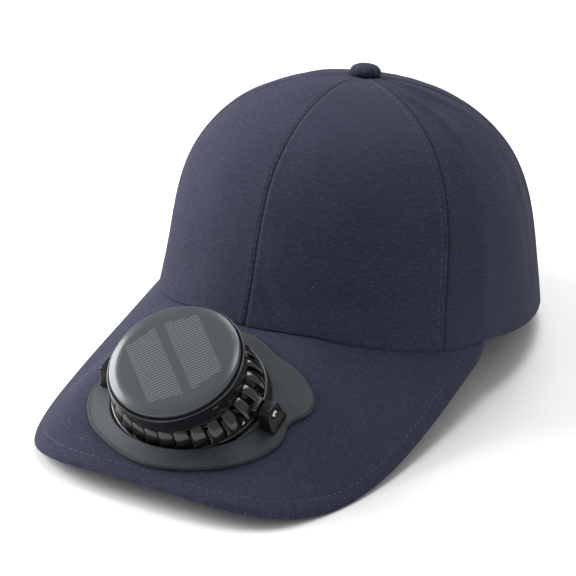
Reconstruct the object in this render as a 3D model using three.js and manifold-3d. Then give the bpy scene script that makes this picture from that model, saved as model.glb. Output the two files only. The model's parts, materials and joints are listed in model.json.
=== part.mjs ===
// Cloth cap with a tilting solar fan in its brim. Millimetres, +Z up, the wearer looks along -Y.
// The cap rests on the back of its hem and on the two front corners of its brim.

import * as THREE from 'three';
import { mergeVertices } from 'three/addons/utils/BufferGeometryUtils.js';
import Module from 'manifold-3d';

const wasm = await Module();
wasm.setup();

const RAD = Math.PI / 180;
const clearance = 0.3;
const roundSides = 36;
const middleSides = 24;
const smallSides = 14;

// How far joined shapes sink into each other, the size of small eased edges, and the cloth pressed flat at rest
const weld = 0.4;
const softEdge = 0.4;
const pressed = 0.5;

// Crown: an oval hem, a height above it and the place of the top
const crown = {
  halfWidth: 81.6,
  frontReach: 89.1,
  backReach: 108.6,
  height: 99.7,
  topShift: -1.6,
  wall: 1.5,
  hem: 2.3,
  hemHeight: 13,
  hemBlend: 0.6,
  hemEase: 0.35,
  panels: 6,
  seamDip: 0.7,
  seamWidth: 1.6,
  topHole: 3.3,
};

// Crown profile: shares of the reach at the front, side, back quarter and rear middle, by height
const crownSections = [
  { height: 0.0, front: 1.0, side: 1.0, back: 1.0, rear: 1.0 },
  { height: 0.18, front: 0.966, side: 0.972, back: 0.945, rear: 0.98 },
  { height: 0.36, front: 0.936, side: 0.952, back: 0.86, rear: 0.935 },
  { height: 0.54, front: 0.894, side: 0.912, back: 0.758, rear: 0.85 },
  { height: 0.7, front: 0.812, side: 0.826, back: 0.655, rear: 0.73 },
  { height: 0.83, front: 0.678, side: 0.69, back: 0.525, rear: 0.57 },
  { height: 0.93, front: 0.49, side: 0.485, back: 0.375, rear: 0.39 },
  { height: 0.985, front: 0.3, side: 0.28, back: 0.2, rear: 0.205 },
  { height: 1.0, front: 0.0, side: 0.0, back: 0.0, rear: 0.0 },
];
const rearTurns = { from: 110, to: 165 };

// Soft folds: turn from the front, share of the way up the profile, spreads and depth
const crownFolds = [
  { turn: 88, up: 0.78, turnSpread: 9, upSpread: 0.1, depth: 1.5 },
  { turn: 74, up: 0.16, turnSpread: 5, upSpread: 0.12, depth: -1.2 },
  { turn: 112, up: 0.3, turnSpread: 8, upSpread: 0.16, depth: 1.4 },
  { turn: 26, up: 0.1, turnSpread: 12, upSpread: 0.05, depth: 0.8 },
  { turn: -88, up: 0.78, turnSpread: 9, upSpread: 0.1, depth: 1.3 },
  { turn: -112, up: 0.3, turnSpread: 8, upSpread: 0.16, depth: 1.4 },
  { turn: -30, up: 0.12, turnSpread: 12, upSpread: 0.06, depth: 0.8 },
  { turn: 165, up: 0.35, turnSpread: 12, upSpread: 0.1, depth: 1.6 },
];

// Button profile: shares of its radius and of its height
const button = { radius: 6.8, height: 4.0 };
const buttonSections = [
  { radius: 0.0, height: 0.0 },
  { radius: 0.9, height: -0.05 },
  { radius: 1.0, height: 0.34 },
  { radius: 0.9, height: 0.7 },
  { radius: 0.55, height: 0.94 },
  { radius: 0.0, height: 1.0 },
];

// Brim: length in front of the crown, half width, slope and arch below the hem plane
const brim = {
  length: 75.1,
  halfWidth: 80.1,
  squareness: 3.48,
  cornerSetback: 57.4,
  slope: 0.592,
  rise: 4.8,
  thickness: 3.2,
  sideDrop: 29.9,
  cornerDrop: 6.2,
  frontEase: 0.31,
  endAngle: 74.9,
  edgeRound: 1.4,
  edgeFall: 0.98,
  bedFlatness: 0.5,
  bedReach: 58,
  bedInner: 0.75,
  bedOuter: 1.25,
};

// Mount plate round the fan, lying on the brim
const plate = { centre: 43.5, reach: 45, rise: 3.3, holeWidth: 34.2, holeDepth: 30.2, brimHoleExtra: 1.3 };
const plateSides = 64;
const plateUnderside = [0.97, 0.5, 0];

// Plate outline: turn from the side towards the back, reach as a share
const plateOutline = [
  { turn: -90, reach: 0.833 },
  { turn: -72, reach: 0.836 },
  { turn: -55, reach: 0.858 },
  { turn: -39, reach: 0.918 },
  { turn: -20, reach: 0.984 },
  { turn: -5, reach: 0.996 },
  { turn: 5, reach: 0.972 },
  { turn: 12, reach: 1.06 },
  { turn: 19, reach: 1.108 },
  { turn: 27, reach: 1.086 },
  { turn: 37, reach: 1.018 },
  { turn: 45, reach: 0.95 },
  { turn: 54, reach: 0.885 },
  { turn: 64, reach: 0.87 },
  { turn: 76, reach: 0.882 },
  { turn: 90, reach: 0.878 },
];

// Plate section from the hole to the outer lip: share of the way out and share of the rise
const plateSections = [
  { out: 0.0, rise: 0.72 },
  { out: 0.1, rise: 1.0 },
  { out: 0.45, rise: 0.9 },
  { out: 0.8, rise: 0.74 },
  { out: 0.95, rise: 0.6 },
  { out: 1.0, rise: 0.3 },
];

// Pivot of the fan head, its lugs and its screws
const pivot = { height: 5.6, tilt: 8, pin: 1.0, headRadius: 1.7, headHeight: 0.8 };
const lug = {
  inside: 34.6,
  thickness: 5.6,
  topLength: 7.6,
  baseLength: 11.6,
  above: 3.6,
  flare: 1.4,
  round: 0.7,
  corner: 1.0,
  shoulder: 0.4,
};

// Fan head: heights are measured along its own axis from the pivot
const ring = { width: 33.3, depth: 29.3, wall: 1.6, top: 0.6, bottom: -2.6, earRadius: 3.1 };
const duct = { radius: 26.4, wall: 1.5, bottom: -7.4 };
const grille = { height: 1.5, bar: 1.5, rings: 2, spokes: 5, hub: 5, sides: 32 };
const guard = {
  fins: 26,
  start: 25.7,
  top: 9.6,
  collar: 1.2,
  collarWall: 2,
  thickness: 1.2,
  depth: 4.2,
  slant: 50,
};
const housing = { radius: 27.5, height: 8.7, wall: 1.7, deck: 2, lipRadius: 28.2, lipHeight: 1.2 };
const lid = { radius: 26.85, height: 4.0, edge: 1.3, pocket: 0.9, crown: 0.2 };
const cell = { gap: 3.3, width: 14.3, insideLength: 38, outsideLength: 31, thickness: 0.6, turn: -43 };
const motor = { radius: 9, height: 7.5, shaft: 1, shaftLength: 9 };
const rotor = {
  hub: 9,
  hubHeight: 7.5,
  hubTop: 5,
  hubEdge: 1.2,
  radius: 23,
  blades: 5,
  bladeHeight: 7,
  bladeThickness: 1.1,
};

// Blade sections: share of the way from hub to tip, lean from flat and sweep in degrees
const bladeStations = [
  { out: 0.0, lean: 48, sweep: 0 },
  { out: 0.35, lean: 40, sweep: 4 },
  { out: 0.7, lean: 33, sweep: 9 },
  { out: 1.0, lean: 27, sweep: 15 },
];

const finish = {
  cloth: { color: 0x30323e, roughness: 0.95, metalness: 0 },
  plate: { color: 0x3c4046, roughness: 0.7, metalness: 0 },
  black: { color: 0x0e0f11, roughness: 0.25, metalness: 0 },
  lid: { color: 0x6d7077, roughness: 0.3, metalness: 0 },
  cell: { color: 0x4a4c52, roughness: 0.35, metalness: 0.2 },
  metal: { color: 0xc6c8cc, roughness: 0.3, metalness: 1 },
};

// Natural cubic spline through (at[i], value[i])
function spline(at, value) {
  const last = at.length - 1;
  const bend = new Array(last + 1).fill(0);
  const carry = new Array(last + 1).fill(0);
  for (let i = 1; i < last; i++) {
    const before = at[i] - at[i - 1];
    const after = at[i + 1] - at[i];
    const share = before / (before + after);
    const pivotValue = share * carry[i - 1] + 2;
    const jump = (value[i + 1] - value[i]) / after - (value[i] - value[i - 1]) / before;
    carry[i] = (share - 1) / pivotValue;
    bend[i] = ((6 * jump) / (before + after) - share * bend[i - 1]) / pivotValue;
  }
  for (let i = last - 1; i > 0; i--) bend[i] += carry[i] * bend[i + 1];
  return (x) => {
    let i = 0;
    while (i < last - 1 && x > at[i + 1]) i += 1;
    const step = at[i + 1] - at[i];
    const a = (at[i + 1] - x) / step;
    const b = 1 - a;
    const curve = ((a ** 3 - a) * bend[i] + (b ** 3 - b) * bend[i + 1]) * (step * step) / 6;
    return a * value[i] + b * value[i + 1] + curve;
  };
}

const point = (x, y, z) => new THREE.Vector3(x, y, z);
const bell = (distance, spread) => Math.exp(-((distance / spread) ** 2));
const mix = THREE.MathUtils.lerp;
const smooth = (x, low, high) => THREE.MathUtils.smoothstep(x, low, high);

// Closed geometry: only positions, shared corners merged, no empty triangle, faces outwards
function closed(geometry) {
  geometry.deleteAttribute('normal');
  geometry.deleteAttribute('uv');
  const merged = mergeVertices(geometry, 1e-4);
  const index = merged.index.array;
  const kept = [];
  for (let i = 0; i < index.length; i += 3) {
    const [a, b, c] = [index[i], index[i + 1], index[i + 2]];
    if (a !== b && b !== c && c !== a) kept.push(a, b, c);
  }
  const corner = (i) => point().fromBufferAttribute(merged.attributes.position, i);
  let volume = 0;
  for (let i = 0; i < kept.length; i += 3) {
    const [a, b, c] = [corner(kept[i]), corner(kept[i + 1]), corner(kept[i + 2])];
    volume += a.dot(b.cross(c));
  }
  if (volume < 0) kept.reverse();
  merged.setIndex(kept);
  return merged;
}

function fromGrid(corners, triangles) {
  const geometry = new THREE.BufferGeometry();
  geometry.setFromPoints(corners);
  geometry.setIndex(triangles);
  return closed(geometry);
}

// Wall between two grids of points with the same rows and columns
function wall(outer, inner) {
  const rows = outer.length;
  const columns = outer[0].length;
  const corners = [...outer.flat(), ...inner.flat()];
  const at = (side, row, column) => side * rows * columns + row * columns + column;
  const triangles = [];
  const quad = (a, b, c, d) => triangles.push(a, b, c, a, c, d);
  for (let r = 0; r < rows - 1; r++) {
    for (let c = 0; c < columns - 1; c++) {
      quad(at(0, r, c), at(0, r, c + 1), at(0, r + 1, c + 1), at(0, r + 1, c));
      quad(at(1, r, c), at(1, r + 1, c), at(1, r + 1, c + 1), at(1, r, c + 1));
    }
    quad(at(0, r, 0), at(0, r + 1, 0), at(1, r + 1, 0), at(1, r, 0));
    quad(at(0, r + 1, columns - 1), at(0, r, columns - 1), at(1, r, columns - 1), at(1, r + 1, columns - 1));
  }
  for (let c = 0; c < columns - 1; c++) {
    quad(at(0, 0, c + 1), at(0, 0, c), at(1, 0, c), at(1, 0, c + 1));
    quad(at(0, rows - 1, c), at(0, rows - 1, c + 1), at(1, rows - 1, c + 1), at(1, rows - 1, c));
  }
  return fromGrid(corners, triangles);
}

// Loops of points joined one to the next, closed into a ring or capped at both ends
function loft(loops, ringed) {
  const size = loops[0].length;
  const triangles = [];
  const steps = ringed ? loops.length : loops.length - 1;
  for (let i = 0; i < steps; i++) {
    const next = (i + 1) % loops.length;
    for (let j = 0; j < size; j++) {
      const k = (j + 1) % size;
      triangles.push(i * size + j, next * size + j, next * size + k);
      triangles.push(i * size + j, next * size + k, i * size + k);
    }
  }
  if (!ringed) {
    const end = (loops.length - 1) * size;
    for (let j = 1; j < size - 1; j++) {
      triangles.push(0, j, j + 1);
      triangles.push(end, end + j + 1, end + j);
    }
  }
  return fromGrid(loops.flat(), triangles);
}

// Ring whose section points have a half width, a half depth and a height
function ovalRing(section, count) {
  const loops = [];
  for (let i = 0; i < count; i++) {
    const turn = (i / count) * 2 * Math.PI;
    loops.push(section.map((p) => point(p.width * Math.cos(turn), p.depth * Math.sin(turn), p.height)));
  }
  return loft(loops, true);
}

function roundRing(section, count) {
  return ovalRing(section.map(([radius, height]) => ({ width: radius, depth: radius, height })), count);
}

function turned(profile, count) {
  const points = profile.map(([radius, height]) => new THREE.Vector2(radius, height));
  return closed(new THREE.LatheGeometry(points, count).rotateX(Math.PI / 2));
}

function rod(radius, from, to, count) {
  return turned([[0, from], [radius, from], [radius, to], [0, to]], count);
}

// A rod along X
function crossRod(radius, from, to, count) {
  return rod(radius, from, to, count).rotateY(Math.PI / 2);
}

function solid(geometry) {
  const vertProperties = new Float32Array(geometry.attributes.position.array);
  const triVerts = new Uint32Array(geometry.index.array);
  return new wasm.Manifold(new wasm.Mesh({ numProp: 3, vertProperties, triVerts }));
}

function geometryOf(body) {
  const mesh = body.getMesh();
  const geometry = new THREE.BufferGeometry();
  geometry.setAttribute('position', new THREE.BufferAttribute(new Float32Array(mesh.vertProperties), 3));
  geometry.setIndex(new THREE.BufferAttribute(new Uint32Array(mesh.triVerts), 1));
  return geometry;
}

const joined = (first, ...rest) => geometryOf(rest.reduce((sum, g) => sum.add(solid(g)), solid(first)));
const cut = (first, ...rest) => geometryOf(rest.reduce((sum, g) => sum.subtract(solid(g)), solid(first)));

// Surfaces of the cap, measured from the hem plane

const plateSlope = Math.atan(brim.slope);

// How far the brim has dropped from its middle line, lessened on the bed of the fan
function arch(x, forward) {
  const side = brim.sideDrop * (x / brim.halfWidth) ** 2;
  const corner = brim.cornerDrop * (x / brim.halfWidth) ** 4;
  const along = forward / Math.cos(plateSlope) - plate.centre;
  const away = Math.hypot(x, along) / brim.bedReach;
  const flat = brim.bedFlatness * (1 - smooth(away, brim.bedInner, brim.bedOuter));
  return (side * (1 - (brim.frontEase * forward) / brim.length) + corner) * (1 - flat);
}

function brimTop(x, y) {
  const forward = -(y + crown.frontReach);
  return brim.rise - brim.slope * forward - arch(x, forward);
}

const endTurn = brim.endAngle * RAD;
const hemPoint = (turn) => [crown.halfWidth * Math.sin(turn), -crown.frontReach * Math.cos(turn)];

// Point some depth inside the hem's outer edge
function hemInset(turn, depth) {
  const [x, y] = hemPoint(turn);
  const normal = new THREE.Vector2(x / crown.halfWidth ** 2, y / crown.frontReach ** 2).normalize();
  return [x - normal.x * depth, y - normal.y * depth];
}

// The hem lies on the brim in front and eases to its own plane behind the brim's ends
function hemHeight(turn, x, y, depth) {
  const past = Math.abs(turn) - endTurn;
  if (past <= 0) return brimTop(x, y) + clearance;
  return (brimTop(...hemInset(endTurn, depth)) + clearance) * bell(past, crown.hemEase);
}

const profileSteps = crownSections.map((row, i) => {
  if (i === 0) return 0;
  const before = crownSections[i - 1];
  const rise = (row.height - before.height) * crown.height;
  const run = (row.side - before.side) * crown.halfWidth;
  return Math.hypot(rise, run);
});
const profileLength = profileSteps.reduce((sum, step) => sum + step, 0);
const profileAt = [];
profileSteps.reduce((sum, step) => {
  profileAt.push((sum + step) / profileLength);
  return sum + step;
}, 0);
const profile = {
  height: spline(profileAt, crownSections.map((row) => row.height)),
  front: spline(profileAt, crownSections.map((row) => row.front)),
  side: spline(profileAt, crownSections.map((row) => row.side)),
  back: spline(profileAt, crownSections.map((row) => row.back)),
  rear: spline(profileAt, crownSections.map((row) => row.rear)),
};

// Smooth outer face of the crown: turn from the front, share of the way up
function crownBase(turn, up) {
  const [hemX, hemY] = hemPoint(turn);
  const hem = hemHeight(turn, hemX, hemY, 0);
  const height = profile.height(up);
  const ahead = Math.cos(turn);
  const rearward = smooth(Math.acos(ahead) / RAD, rearTurns.from, rearTurns.to);
  const backShare = mix(profile.back(up), profile.rear(up), rearward);
  const reach = ahead > 0 ? crown.frontReach * profile.front(up) : crown.backReach * backShare;
  const x = crown.halfWidth * profile.side(up) * Math.sin(turn);
  return point(x, -reach * ahead + crown.topShift * height, mix(hem, crown.height, height));
}

const turnStep = 0.004;
const upStep = 0.004;

function crownFrame(turn, up) {
  const across = crownBase(turn + turnStep, up).sub(crownBase(turn - turnStep, up));
  const low = Math.max(up - upStep, 0);
  const high = Math.min(up + upStep, 1);
  const along = crownBase(turn, high).sub(crownBase(turn, low));
  const radius = across.length() / (2 * turnStep);
  return { normal: across.clone().cross(along).normalize(), radius };
}

function foldDepth(turn, up) {
  return crownFolds.reduce((sum, fold) => {
    const around = (turn / RAD - fold.turn) / fold.turnSpread;
    const upward = (up - fold.up) / fold.upSpread;
    return sum + fold.depth * Math.exp(-around * around - upward * upward);
  }, 0);
}

// Point of the crown, some depth inside its outer face, with the folds and the dip along the seams
function crownPoint(turn, up, depth, seamDistance) {
  const { normal } = crownFrame(turn, up);
  const dip = crown.seamDip * bell(seamDistance, crown.seamWidth) + foldDepth(turn, up);
  return crownBase(turn, up).addScaledVector(normal, -(depth + dip));
}

const panelColumns = [0, 0.025, 0.09, 0.22, 0.36, 0.5, 0.64, 0.78, 0.91, 0.975, 1];
const panelRows = [0, 0.05, 0.13, 0.24, 0.35, 0.46, 0.56, 0.66, 0.75, 0.84, 0.92, 1];

const signedTurn = (turn) => (turn > Math.PI ? turn - 2 * Math.PI : turn);

// A panel's columns, one of them moved to the end of the brim where it passes under the panel
function columnTurns(from, sweep) {
  const turns = panelColumns.map((column) => from + column * sweep);
  const miss = turns.map((turn) => Math.abs(Math.abs(signedTurn(turn)) - endTurn));
  const nearest = miss.indexOf(Math.min(...miss));
  if (miss[nearest] < sweep / 10) turns[nearest] = turns[nearest] > Math.PI ? 2 * Math.PI - endTurn : endTurn;
  return turns;
}

function crownPanel(index) {
  const sweep = (2 * Math.PI) / crown.panels;
  const from = index * sweep;
  const turns = columnTurns(from, sweep);
  const topShare = 1 - crown.topHole / profileLength;
  const faces = [[], []];
  for (const share of panelRows) {
    const up = share * topShare;
    const side = Math.max(crownFrame(from + sweep / 2, Math.max(up, upStep)).radius, 1);
    const inset = clearance / 2 / side;
    const thin = smooth(share * profileLength, crown.hemHeight * crown.hemBlend, crown.hemHeight);
    const depth = mix(crown.hem, crown.wall, thin);
    const rows = [[], []];
    for (const middle of turns) {
      const turn = THREE.MathUtils.clamp(middle, from + inset, from + sweep - inset);
      const seamDistance = Math.min(middle - from, from + sweep - middle) * side;
      for (const face of [0, 1]) {
        const p = crownPoint(turn, up, depth * face, seamDistance);
        if (share === 0) p.z = hemHeight(signedTurn(turn), p.x, p.y, depth * face);
        rows[face].push(p);
      }
    }
    faces[0].push(rows[0]);
    faces[1].push(rows[1]);
  }
  return wall(faces[0], faces[1]);
}

// Brim outline: a squared oval from one end to the other
function brimOutline(share) {
  const a = (share * Math.PI) / 2;
  const power = 2 / brim.squareness;
  const front = -(crown.frontReach + brim.length);
  const start = -crown.frontReach + brim.cornerSetback;
  const x = brim.halfWidth * Math.sign(Math.sin(a)) * Math.abs(Math.sin(a)) ** power;
  const y = mix(start, front, Math.abs(Math.cos(a)) ** power);
  return [x, y];
}

const brimEnds = [0.6, 0.25];
const brimColumnCount = 34;
const brimRows = [0, 0.05, 0.24, 0.43, 0.62, 0.81];

// Inner and outer ends of the brim's columns, from the wearer's right to the left
function brimColumns() {
  const inset = (turn) => hemInset(turn, crown.hem);
  const turnOf = (x, y) => Math.atan2(x / crown.halfWidth, -y / crown.frontReach);
  const columns = [];
  for (let i = 0; i <= brimColumnCount; i++) {
    const outer = brimOutline((2 * i) / brimColumnCount - 1);
    const turn = THREE.MathUtils.clamp(turnOf(...outer), -endTurn, endTurn);
    columns.push({ inner: inset(turn), outer });
  }
  const last = columns[brimColumnCount];
  const lastTurn = turnOf(...last.outer);
  const [tipX, tipY] = hemPoint(endTurn);
  const tips = brimEnds.map((share) => ({
    inner: inset(mix(endTurn, lastTurn, share)),
    outer: [mix(tipX + clearance, last.outer[0], share), mix(tipY, last.outer[1], share)],
  }));
  tips.push({ inner: inset(endTurn), outer: [tipX + clearance, tipY] });
  const mirrored = ({ inner, outer }) => ({ inner: [-inner[0], inner[1]], outer: [-outer[0], outer[1]] });
  return [...tips.map(mirrored).reverse(), ...columns, ...tips];
}

function brimSolid() {
  const top = [];
  const bottom = [];
  for (const { inner, outer } of brimColumns()) {
    const length = Math.hypot(outer[0] - inner[0], outer[1] - inner[1]);
    const shares = [...brimRows, 1 - brim.edgeRound / length / 2, 1];
    const sorted = shares.map((share) => Math.min(share, 1)).sort((a, b) => a - b);
    const between = (share) => [mix(inner[0], outer[0], share), mix(inner[1], outer[1], share), share];
    const row = sorted.map(between);
    const rounding = (share) => (share === 1 ? brim.edgeFall : 0);
    top.push(row.map(([x, y, share]) => point(x, y, brimTop(x, y) - rounding(share))));
    bottom.push(row.map(([x, y, share]) => point(x, y, brimTop(x, y) - brim.thickness + rounding(share))));
  }
  return wall(top, bottom);
}

// Plate frame: its origin is on the brim's middle line, its Z leaves the brim
const plateOrigin = point(
  0,
  -crown.frontReach - plate.centre * Math.cos(plateSlope),
  brim.rise - plate.centre * Math.sin(plateSlope),
);

function ovalHoleCutter(width, depth, height) {
  const sides = [-height, height];
  const loops = sides.map((z) => {
    const loop = [];
    for (let i = 0; i < roundSides; i++) {
      const turn = (i / roundSides) * 2 * Math.PI;
      loop.push(point(width * Math.cos(turn), depth * Math.sin(turn), z));
    }
    return loop;
  });
  return loft(loops, false);
}

// Height of the brim under a point of the plate frame
function bedHeight(x, back) {
  let height = 0;
  for (let i = 0; i < 4; i++) {
    const y = plateOrigin.y + back * Math.cos(plateSlope) - height * Math.sin(plateSlope);
    height = -arch(x, -(y + crown.frontReach)) * Math.cos(plateSlope);
  }
  return height;
}

const plateReachAt = spline(plateOutline.map((row) => row.turn), plateOutline.map((row) => row.reach));

function plateSolid() {
  const loops = [];
  for (let i = 0; i < plateSides; i++) {
    const turn = (i / plateSides) * 2 * Math.PI;
    const across = Math.cos(turn);
    const back = Math.sin(turn);
    const side = Math.atan2(back, Math.abs(across)) / RAD;
    const outer = plate.reach * plateReachAt(side);
    const inner = 1 / Math.hypot(across / plate.holeWidth, back / plate.holeDepth);
    const at = (share, height) => {
      const radius = mix(inner, outer, share);
      const x = radius * across;
      const y = radius * back;
      return point(x, y, bedHeight(x, y) + height);
    };
    const upper = plateSections.map((row) => at(row.out, clearance + row.rise * (plate.rise - clearance)));
    const lower = plateUnderside.map((share) => at(share, clearance));
    loops.push([...upper, ...lower]);
  }
  return loft(loops, true);
}

const lugOutside = lug.inside + lug.thickness;
const lugTop = pivot.height + lug.above;

function lugSolid(side) {
  const loops = [0, 1].flatMap((outside) => {
    const faces = [lug.round, 0].map((round) => ({ outside, round }));
    return outside ? faces.reverse() : faces;
  }).map(({ outside, round }) => {
    const x = outside ? lugOutside - (round ? 0 : lug.round) : lug.inside + (round ? 0 : lug.round);
    const half = { top: lug.topLength / 2 - round, base: lug.baseLength / 2 - round };
    const flare = outside ? lug.flare : 0;
    const { corner } = lug;
    const shoulder = corner * lug.shoulder;
    const base = (y) => point(x + flare, y, bedHeight(x + flare, y) + plate.rise + clearance);
    const top = lugTop - round;
    return [
      base(-half.base),
      point(x, -half.top - shoulder, top - corner),
      point(x, -half.top + corner, top),
      point(x, half.top - corner, top),
      point(x, half.top + shoulder, top - corner),
      base(half.base),
    ];
  });
  const block = loft(loops, false);
  const beyond = lugOutside + lug.thickness;
  const bore = crossRod(pivot.pin + clearance, lug.inside - lug.thickness, beyond, smallSides);
  const seat = crossRod(pivot.headRadius + clearance, lugOutside, beyond, smallSides);
  bore.translate(0, 0, pivot.height);
  seat.translate(0, 0, pivot.height);
  return mirrored(cut(block, bore, seat), side);
}

// The wearer's left is +X. The other side is the mirror image.
function mirrored(geometry, side) {
  return side > 0 ? geometry : closed(geometry.scale(-1, 1, 1));
}

const pinEnd = ring.width - ring.wall + weld;

function screwSolid(side) {
  const seat = lugOutside + clearance;
  const profilePoints = [
    [0, pinEnd],
    [pivot.pin, pinEnd],
    [pivot.pin, seat],
    [pivot.headRadius, seat],
    [pivot.headRadius, seat + pivot.headHeight * 0.6],
    [pivot.headRadius * 0.75, seat + pivot.headHeight],
    [0, seat + pivot.headHeight],
  ];
  const screw = turned(profilePoints, smallSides).rotateY(Math.PI / 2).translate(0, 0, pivot.height);
  return mirrored(screw, side);
}

// Guard fin: an arched slanted blade from the collar down to the ring
function finSolid(turn) {
  const across = Math.cos(turn);
  const back = Math.sin(turn);
  const middle = ring.wall / 2;
  const insideRing = 1 / Math.hypot(across / (ring.width - middle), back / (ring.depth - middle));
  const foot = ring.top - weld;
  const radial = point(across, back, 0);
  const tangent = point(-back, across, 0);
  const up = point(0, 0, 1);
  const steps = 3;
  const loops = [];
  for (let i = 0; i <= steps; i++) {
    const angle = (i / steps) * (Math.PI / 2);
    const radius = mix(guard.start, insideRing, Math.sin(angle));
    const height = mix(foot, guard.top - guard.collar / 2, Math.cos(angle));
    const edge = radial.clone().multiplyScalar(radius).addScaledVector(up, height);
    const inward = radial.clone().multiplyScalar(-Math.sin(angle)).addScaledVector(up, -Math.cos(angle));
    const slant = guard.slant * RAD;
    const deep = inward.clone().multiplyScalar(Math.cos(slant)).addScaledVector(tangent, Math.sin(slant));
    const thick = inward.clone().multiplyScalar(-Math.sin(slant)).addScaledVector(tangent, Math.cos(slant));
    const half = guard.thickness / 2;
    loops.push([
      edge.clone().addScaledVector(thick, -half),
      edge.clone().addScaledVector(thick, half),
      edge.clone().addScaledVector(thick, half).addScaledVector(deep, guard.depth),
      edge.clone().addScaledVector(thick, -half).addScaledVector(deep, guard.depth),
    ]);
  }
  return loft(loops, false);
}

function guardSolid() {
  const rim = ovalRing([
    { width: ring.width, depth: ring.depth, height: ring.top },
    { width: ring.width, depth: ring.depth, height: ring.bottom },
    { width: duct.radius, depth: duct.radius, height: duct.bottom },
    { width: duct.radius - duct.wall, depth: duct.radius - duct.wall, height: duct.bottom },
    { width: ring.width - ring.wall, depth: ring.depth - ring.wall, height: ring.bottom + weld },
    { width: ring.width - ring.wall, depth: ring.depth - ring.wall, height: ring.top },
  ], roundSides);
  const collarOuter = guard.start + guard.collarWall / 2;
  const collarInner = guard.start - guard.collarWall / 2;
  const collar = roundRing([
    [collarOuter, guard.top],
    [collarOuter, guard.top - guard.collar],
    [collarInner, guard.top - guard.collar],
    [collarInner, guard.top],
  ], roundSides);
  const fins = Array.from({ length: guard.fins }, (_, i) => finSolid(((i + 0.5) / guard.fins) * 2 * Math.PI));
  const earInside = ring.width - ring.wall - 1;
  const earOutside = lug.inside - clearance;
  const ears = [1, -1].map((side) =>
    mirrored(crossRod(ring.earRadius, earInside, earOutside, middleSides), side));
  const bores = [1, -1].map((side) =>
    mirrored(crossRod(pivot.pin + clearance, pinEnd - clearance, earOutside + 1, smallSides), side));
  return cut(joined(rim, collar, ...fins, ...ears), ...bores);
}

const housingBottom = guard.top + clearance;
const housingTop = housingBottom + housing.height;
const deckTop = housingTop - housing.lipHeight;
const deckBottom = deckTop - housing.deck;

function housingSolid() {
  return turned([
    [0, deckTop],
    [lid.radius + clearance, deckTop],
    [lid.radius + clearance, housingTop],
    [housing.lipRadius - softEdge, housingTop],
    [housing.lipRadius, housingTop - softEdge],
    [housing.lipRadius, deckTop - softEdge],
    [housing.radius, deckTop - softEdge * 3],
    [housing.radius - softEdge / 2, housingBottom],
    [housing.radius - housing.wall, housingBottom],
    [housing.radius - housing.wall, deckBottom],
    [0, deckBottom],
  ], roundSides);
}

const lidBottom = deckTop + clearance;
const lidTop = lidBottom + lid.height;
const cellTop = lidTop - lid.crown;

// Cell outline in the plane of the lid: its long inside edge faces the other cell
function cellShape(side, grow) {
  const inside = cell.gap / 2 - grow;
  const outside = cell.gap / 2 + cell.width + grow;
  const corners = [
    [-cell.insideLength / 2 - grow, inside],
    [cell.insideLength / 2 + grow, inside],
    [cell.outsideLength / 2 + grow, outside],
    [-cell.outsideLength / 2 - grow, outside],
  ];
  return new THREE.Shape(corners.map(([x, y]) => new THREE.Vector2(x, y * side)));
}

function cellBlock(side, grow, from, to) {
  const block = new THREE.ExtrudeGeometry(cellShape(side, grow), { depth: to - from, bevelEnabled: false });
  return closed(block.translate(0, 0, from).rotateZ(cell.turn * RAD));
}

function lidSolid() {
  const edge = lid.edge;
  const body = turned([
    [0, lidBottom],
    [lid.radius - softEdge, lidBottom],
    [lid.radius, lidBottom + softEdge],
    [lid.radius, lidTop - edge - softEdge],
    [lid.radius - edge * 0.3, lidTop - edge * 0.4 - softEdge],
    [lid.radius - edge, lidTop - lid.crown * 1.8],
    [lid.radius - edge * 2.2, lidTop - lid.crown * 0.8],
    [0, lidTop],
  ], roundSides);
  const pockets = [1, -1].map((side) => cellBlock(side, clearance, cellTop - lid.pocket, lidTop + 2));
  return cut(body, ...pockets);
}

const cellSolid = (side) => cellBlock(side, 0, cellTop - cell.thickness, cellTop);

const motorTop = deckBottom - clearance;
const motorBottom = motorTop - motor.height;

function motorSolid() {
  const shaftEnd = motorBottom - motor.shaftLength;
  return turned([
    [0, motorTop],
    [motor.radius, motorTop],
    [motor.radius, motorBottom + softEdge * 2],
    [motor.radius - softEdge * 2, motorBottom],
    [motor.shaft, motorBottom],
    [motor.shaft, shaftEnd],
    [0, shaftEnd],
  ], middleSides);
}

function bladeSolid(index) {
  const turn = (index / rotor.blades) * 2 * Math.PI;
  const middle = rotor.hubTop - rotor.hubHeight / 2;
  const loops = bladeStations.map(({ out: share, lean, sweep }) => {
    const out = mix(rotor.hub - 2 * weld, rotor.radius, share);
    const rise = rotor.bladeHeight / 2;
    const run = rise / Math.tan(lean * RAD);
    const half = rotor.bladeThickness / 2;
    const at = (along, up) => {
      const angle = turn + sweep * RAD + along / out;
      return point(out * Math.cos(angle), out * Math.sin(angle), middle + up);
    };
    return [at(-run - half, -rise), at(-run + half, -rise), at(run + half, rise), at(run - half, rise)];
  });
  return loft(loops, false);
}

function rotorSolid() {
  const top = rotor.hubTop;
  const bottom = top - rotor.hubHeight;
  const bore = motor.shaft + clearance;
  const hub = turned([
    [0, bottom],
    [rotor.hub - rotor.hubEdge, bottom],
    [rotor.hub, bottom + rotor.hubEdge],
    [rotor.hub, top],
    [bore, top],
    [bore, motorBottom - motor.shaftLength - clearance],
    [0, motorBottom - motor.shaftLength - clearance],
  ], middleSides);
  return joined(hub, ...Array.from({ length: rotor.blades }, (_, i) => bladeSolid(i)));
}

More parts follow.
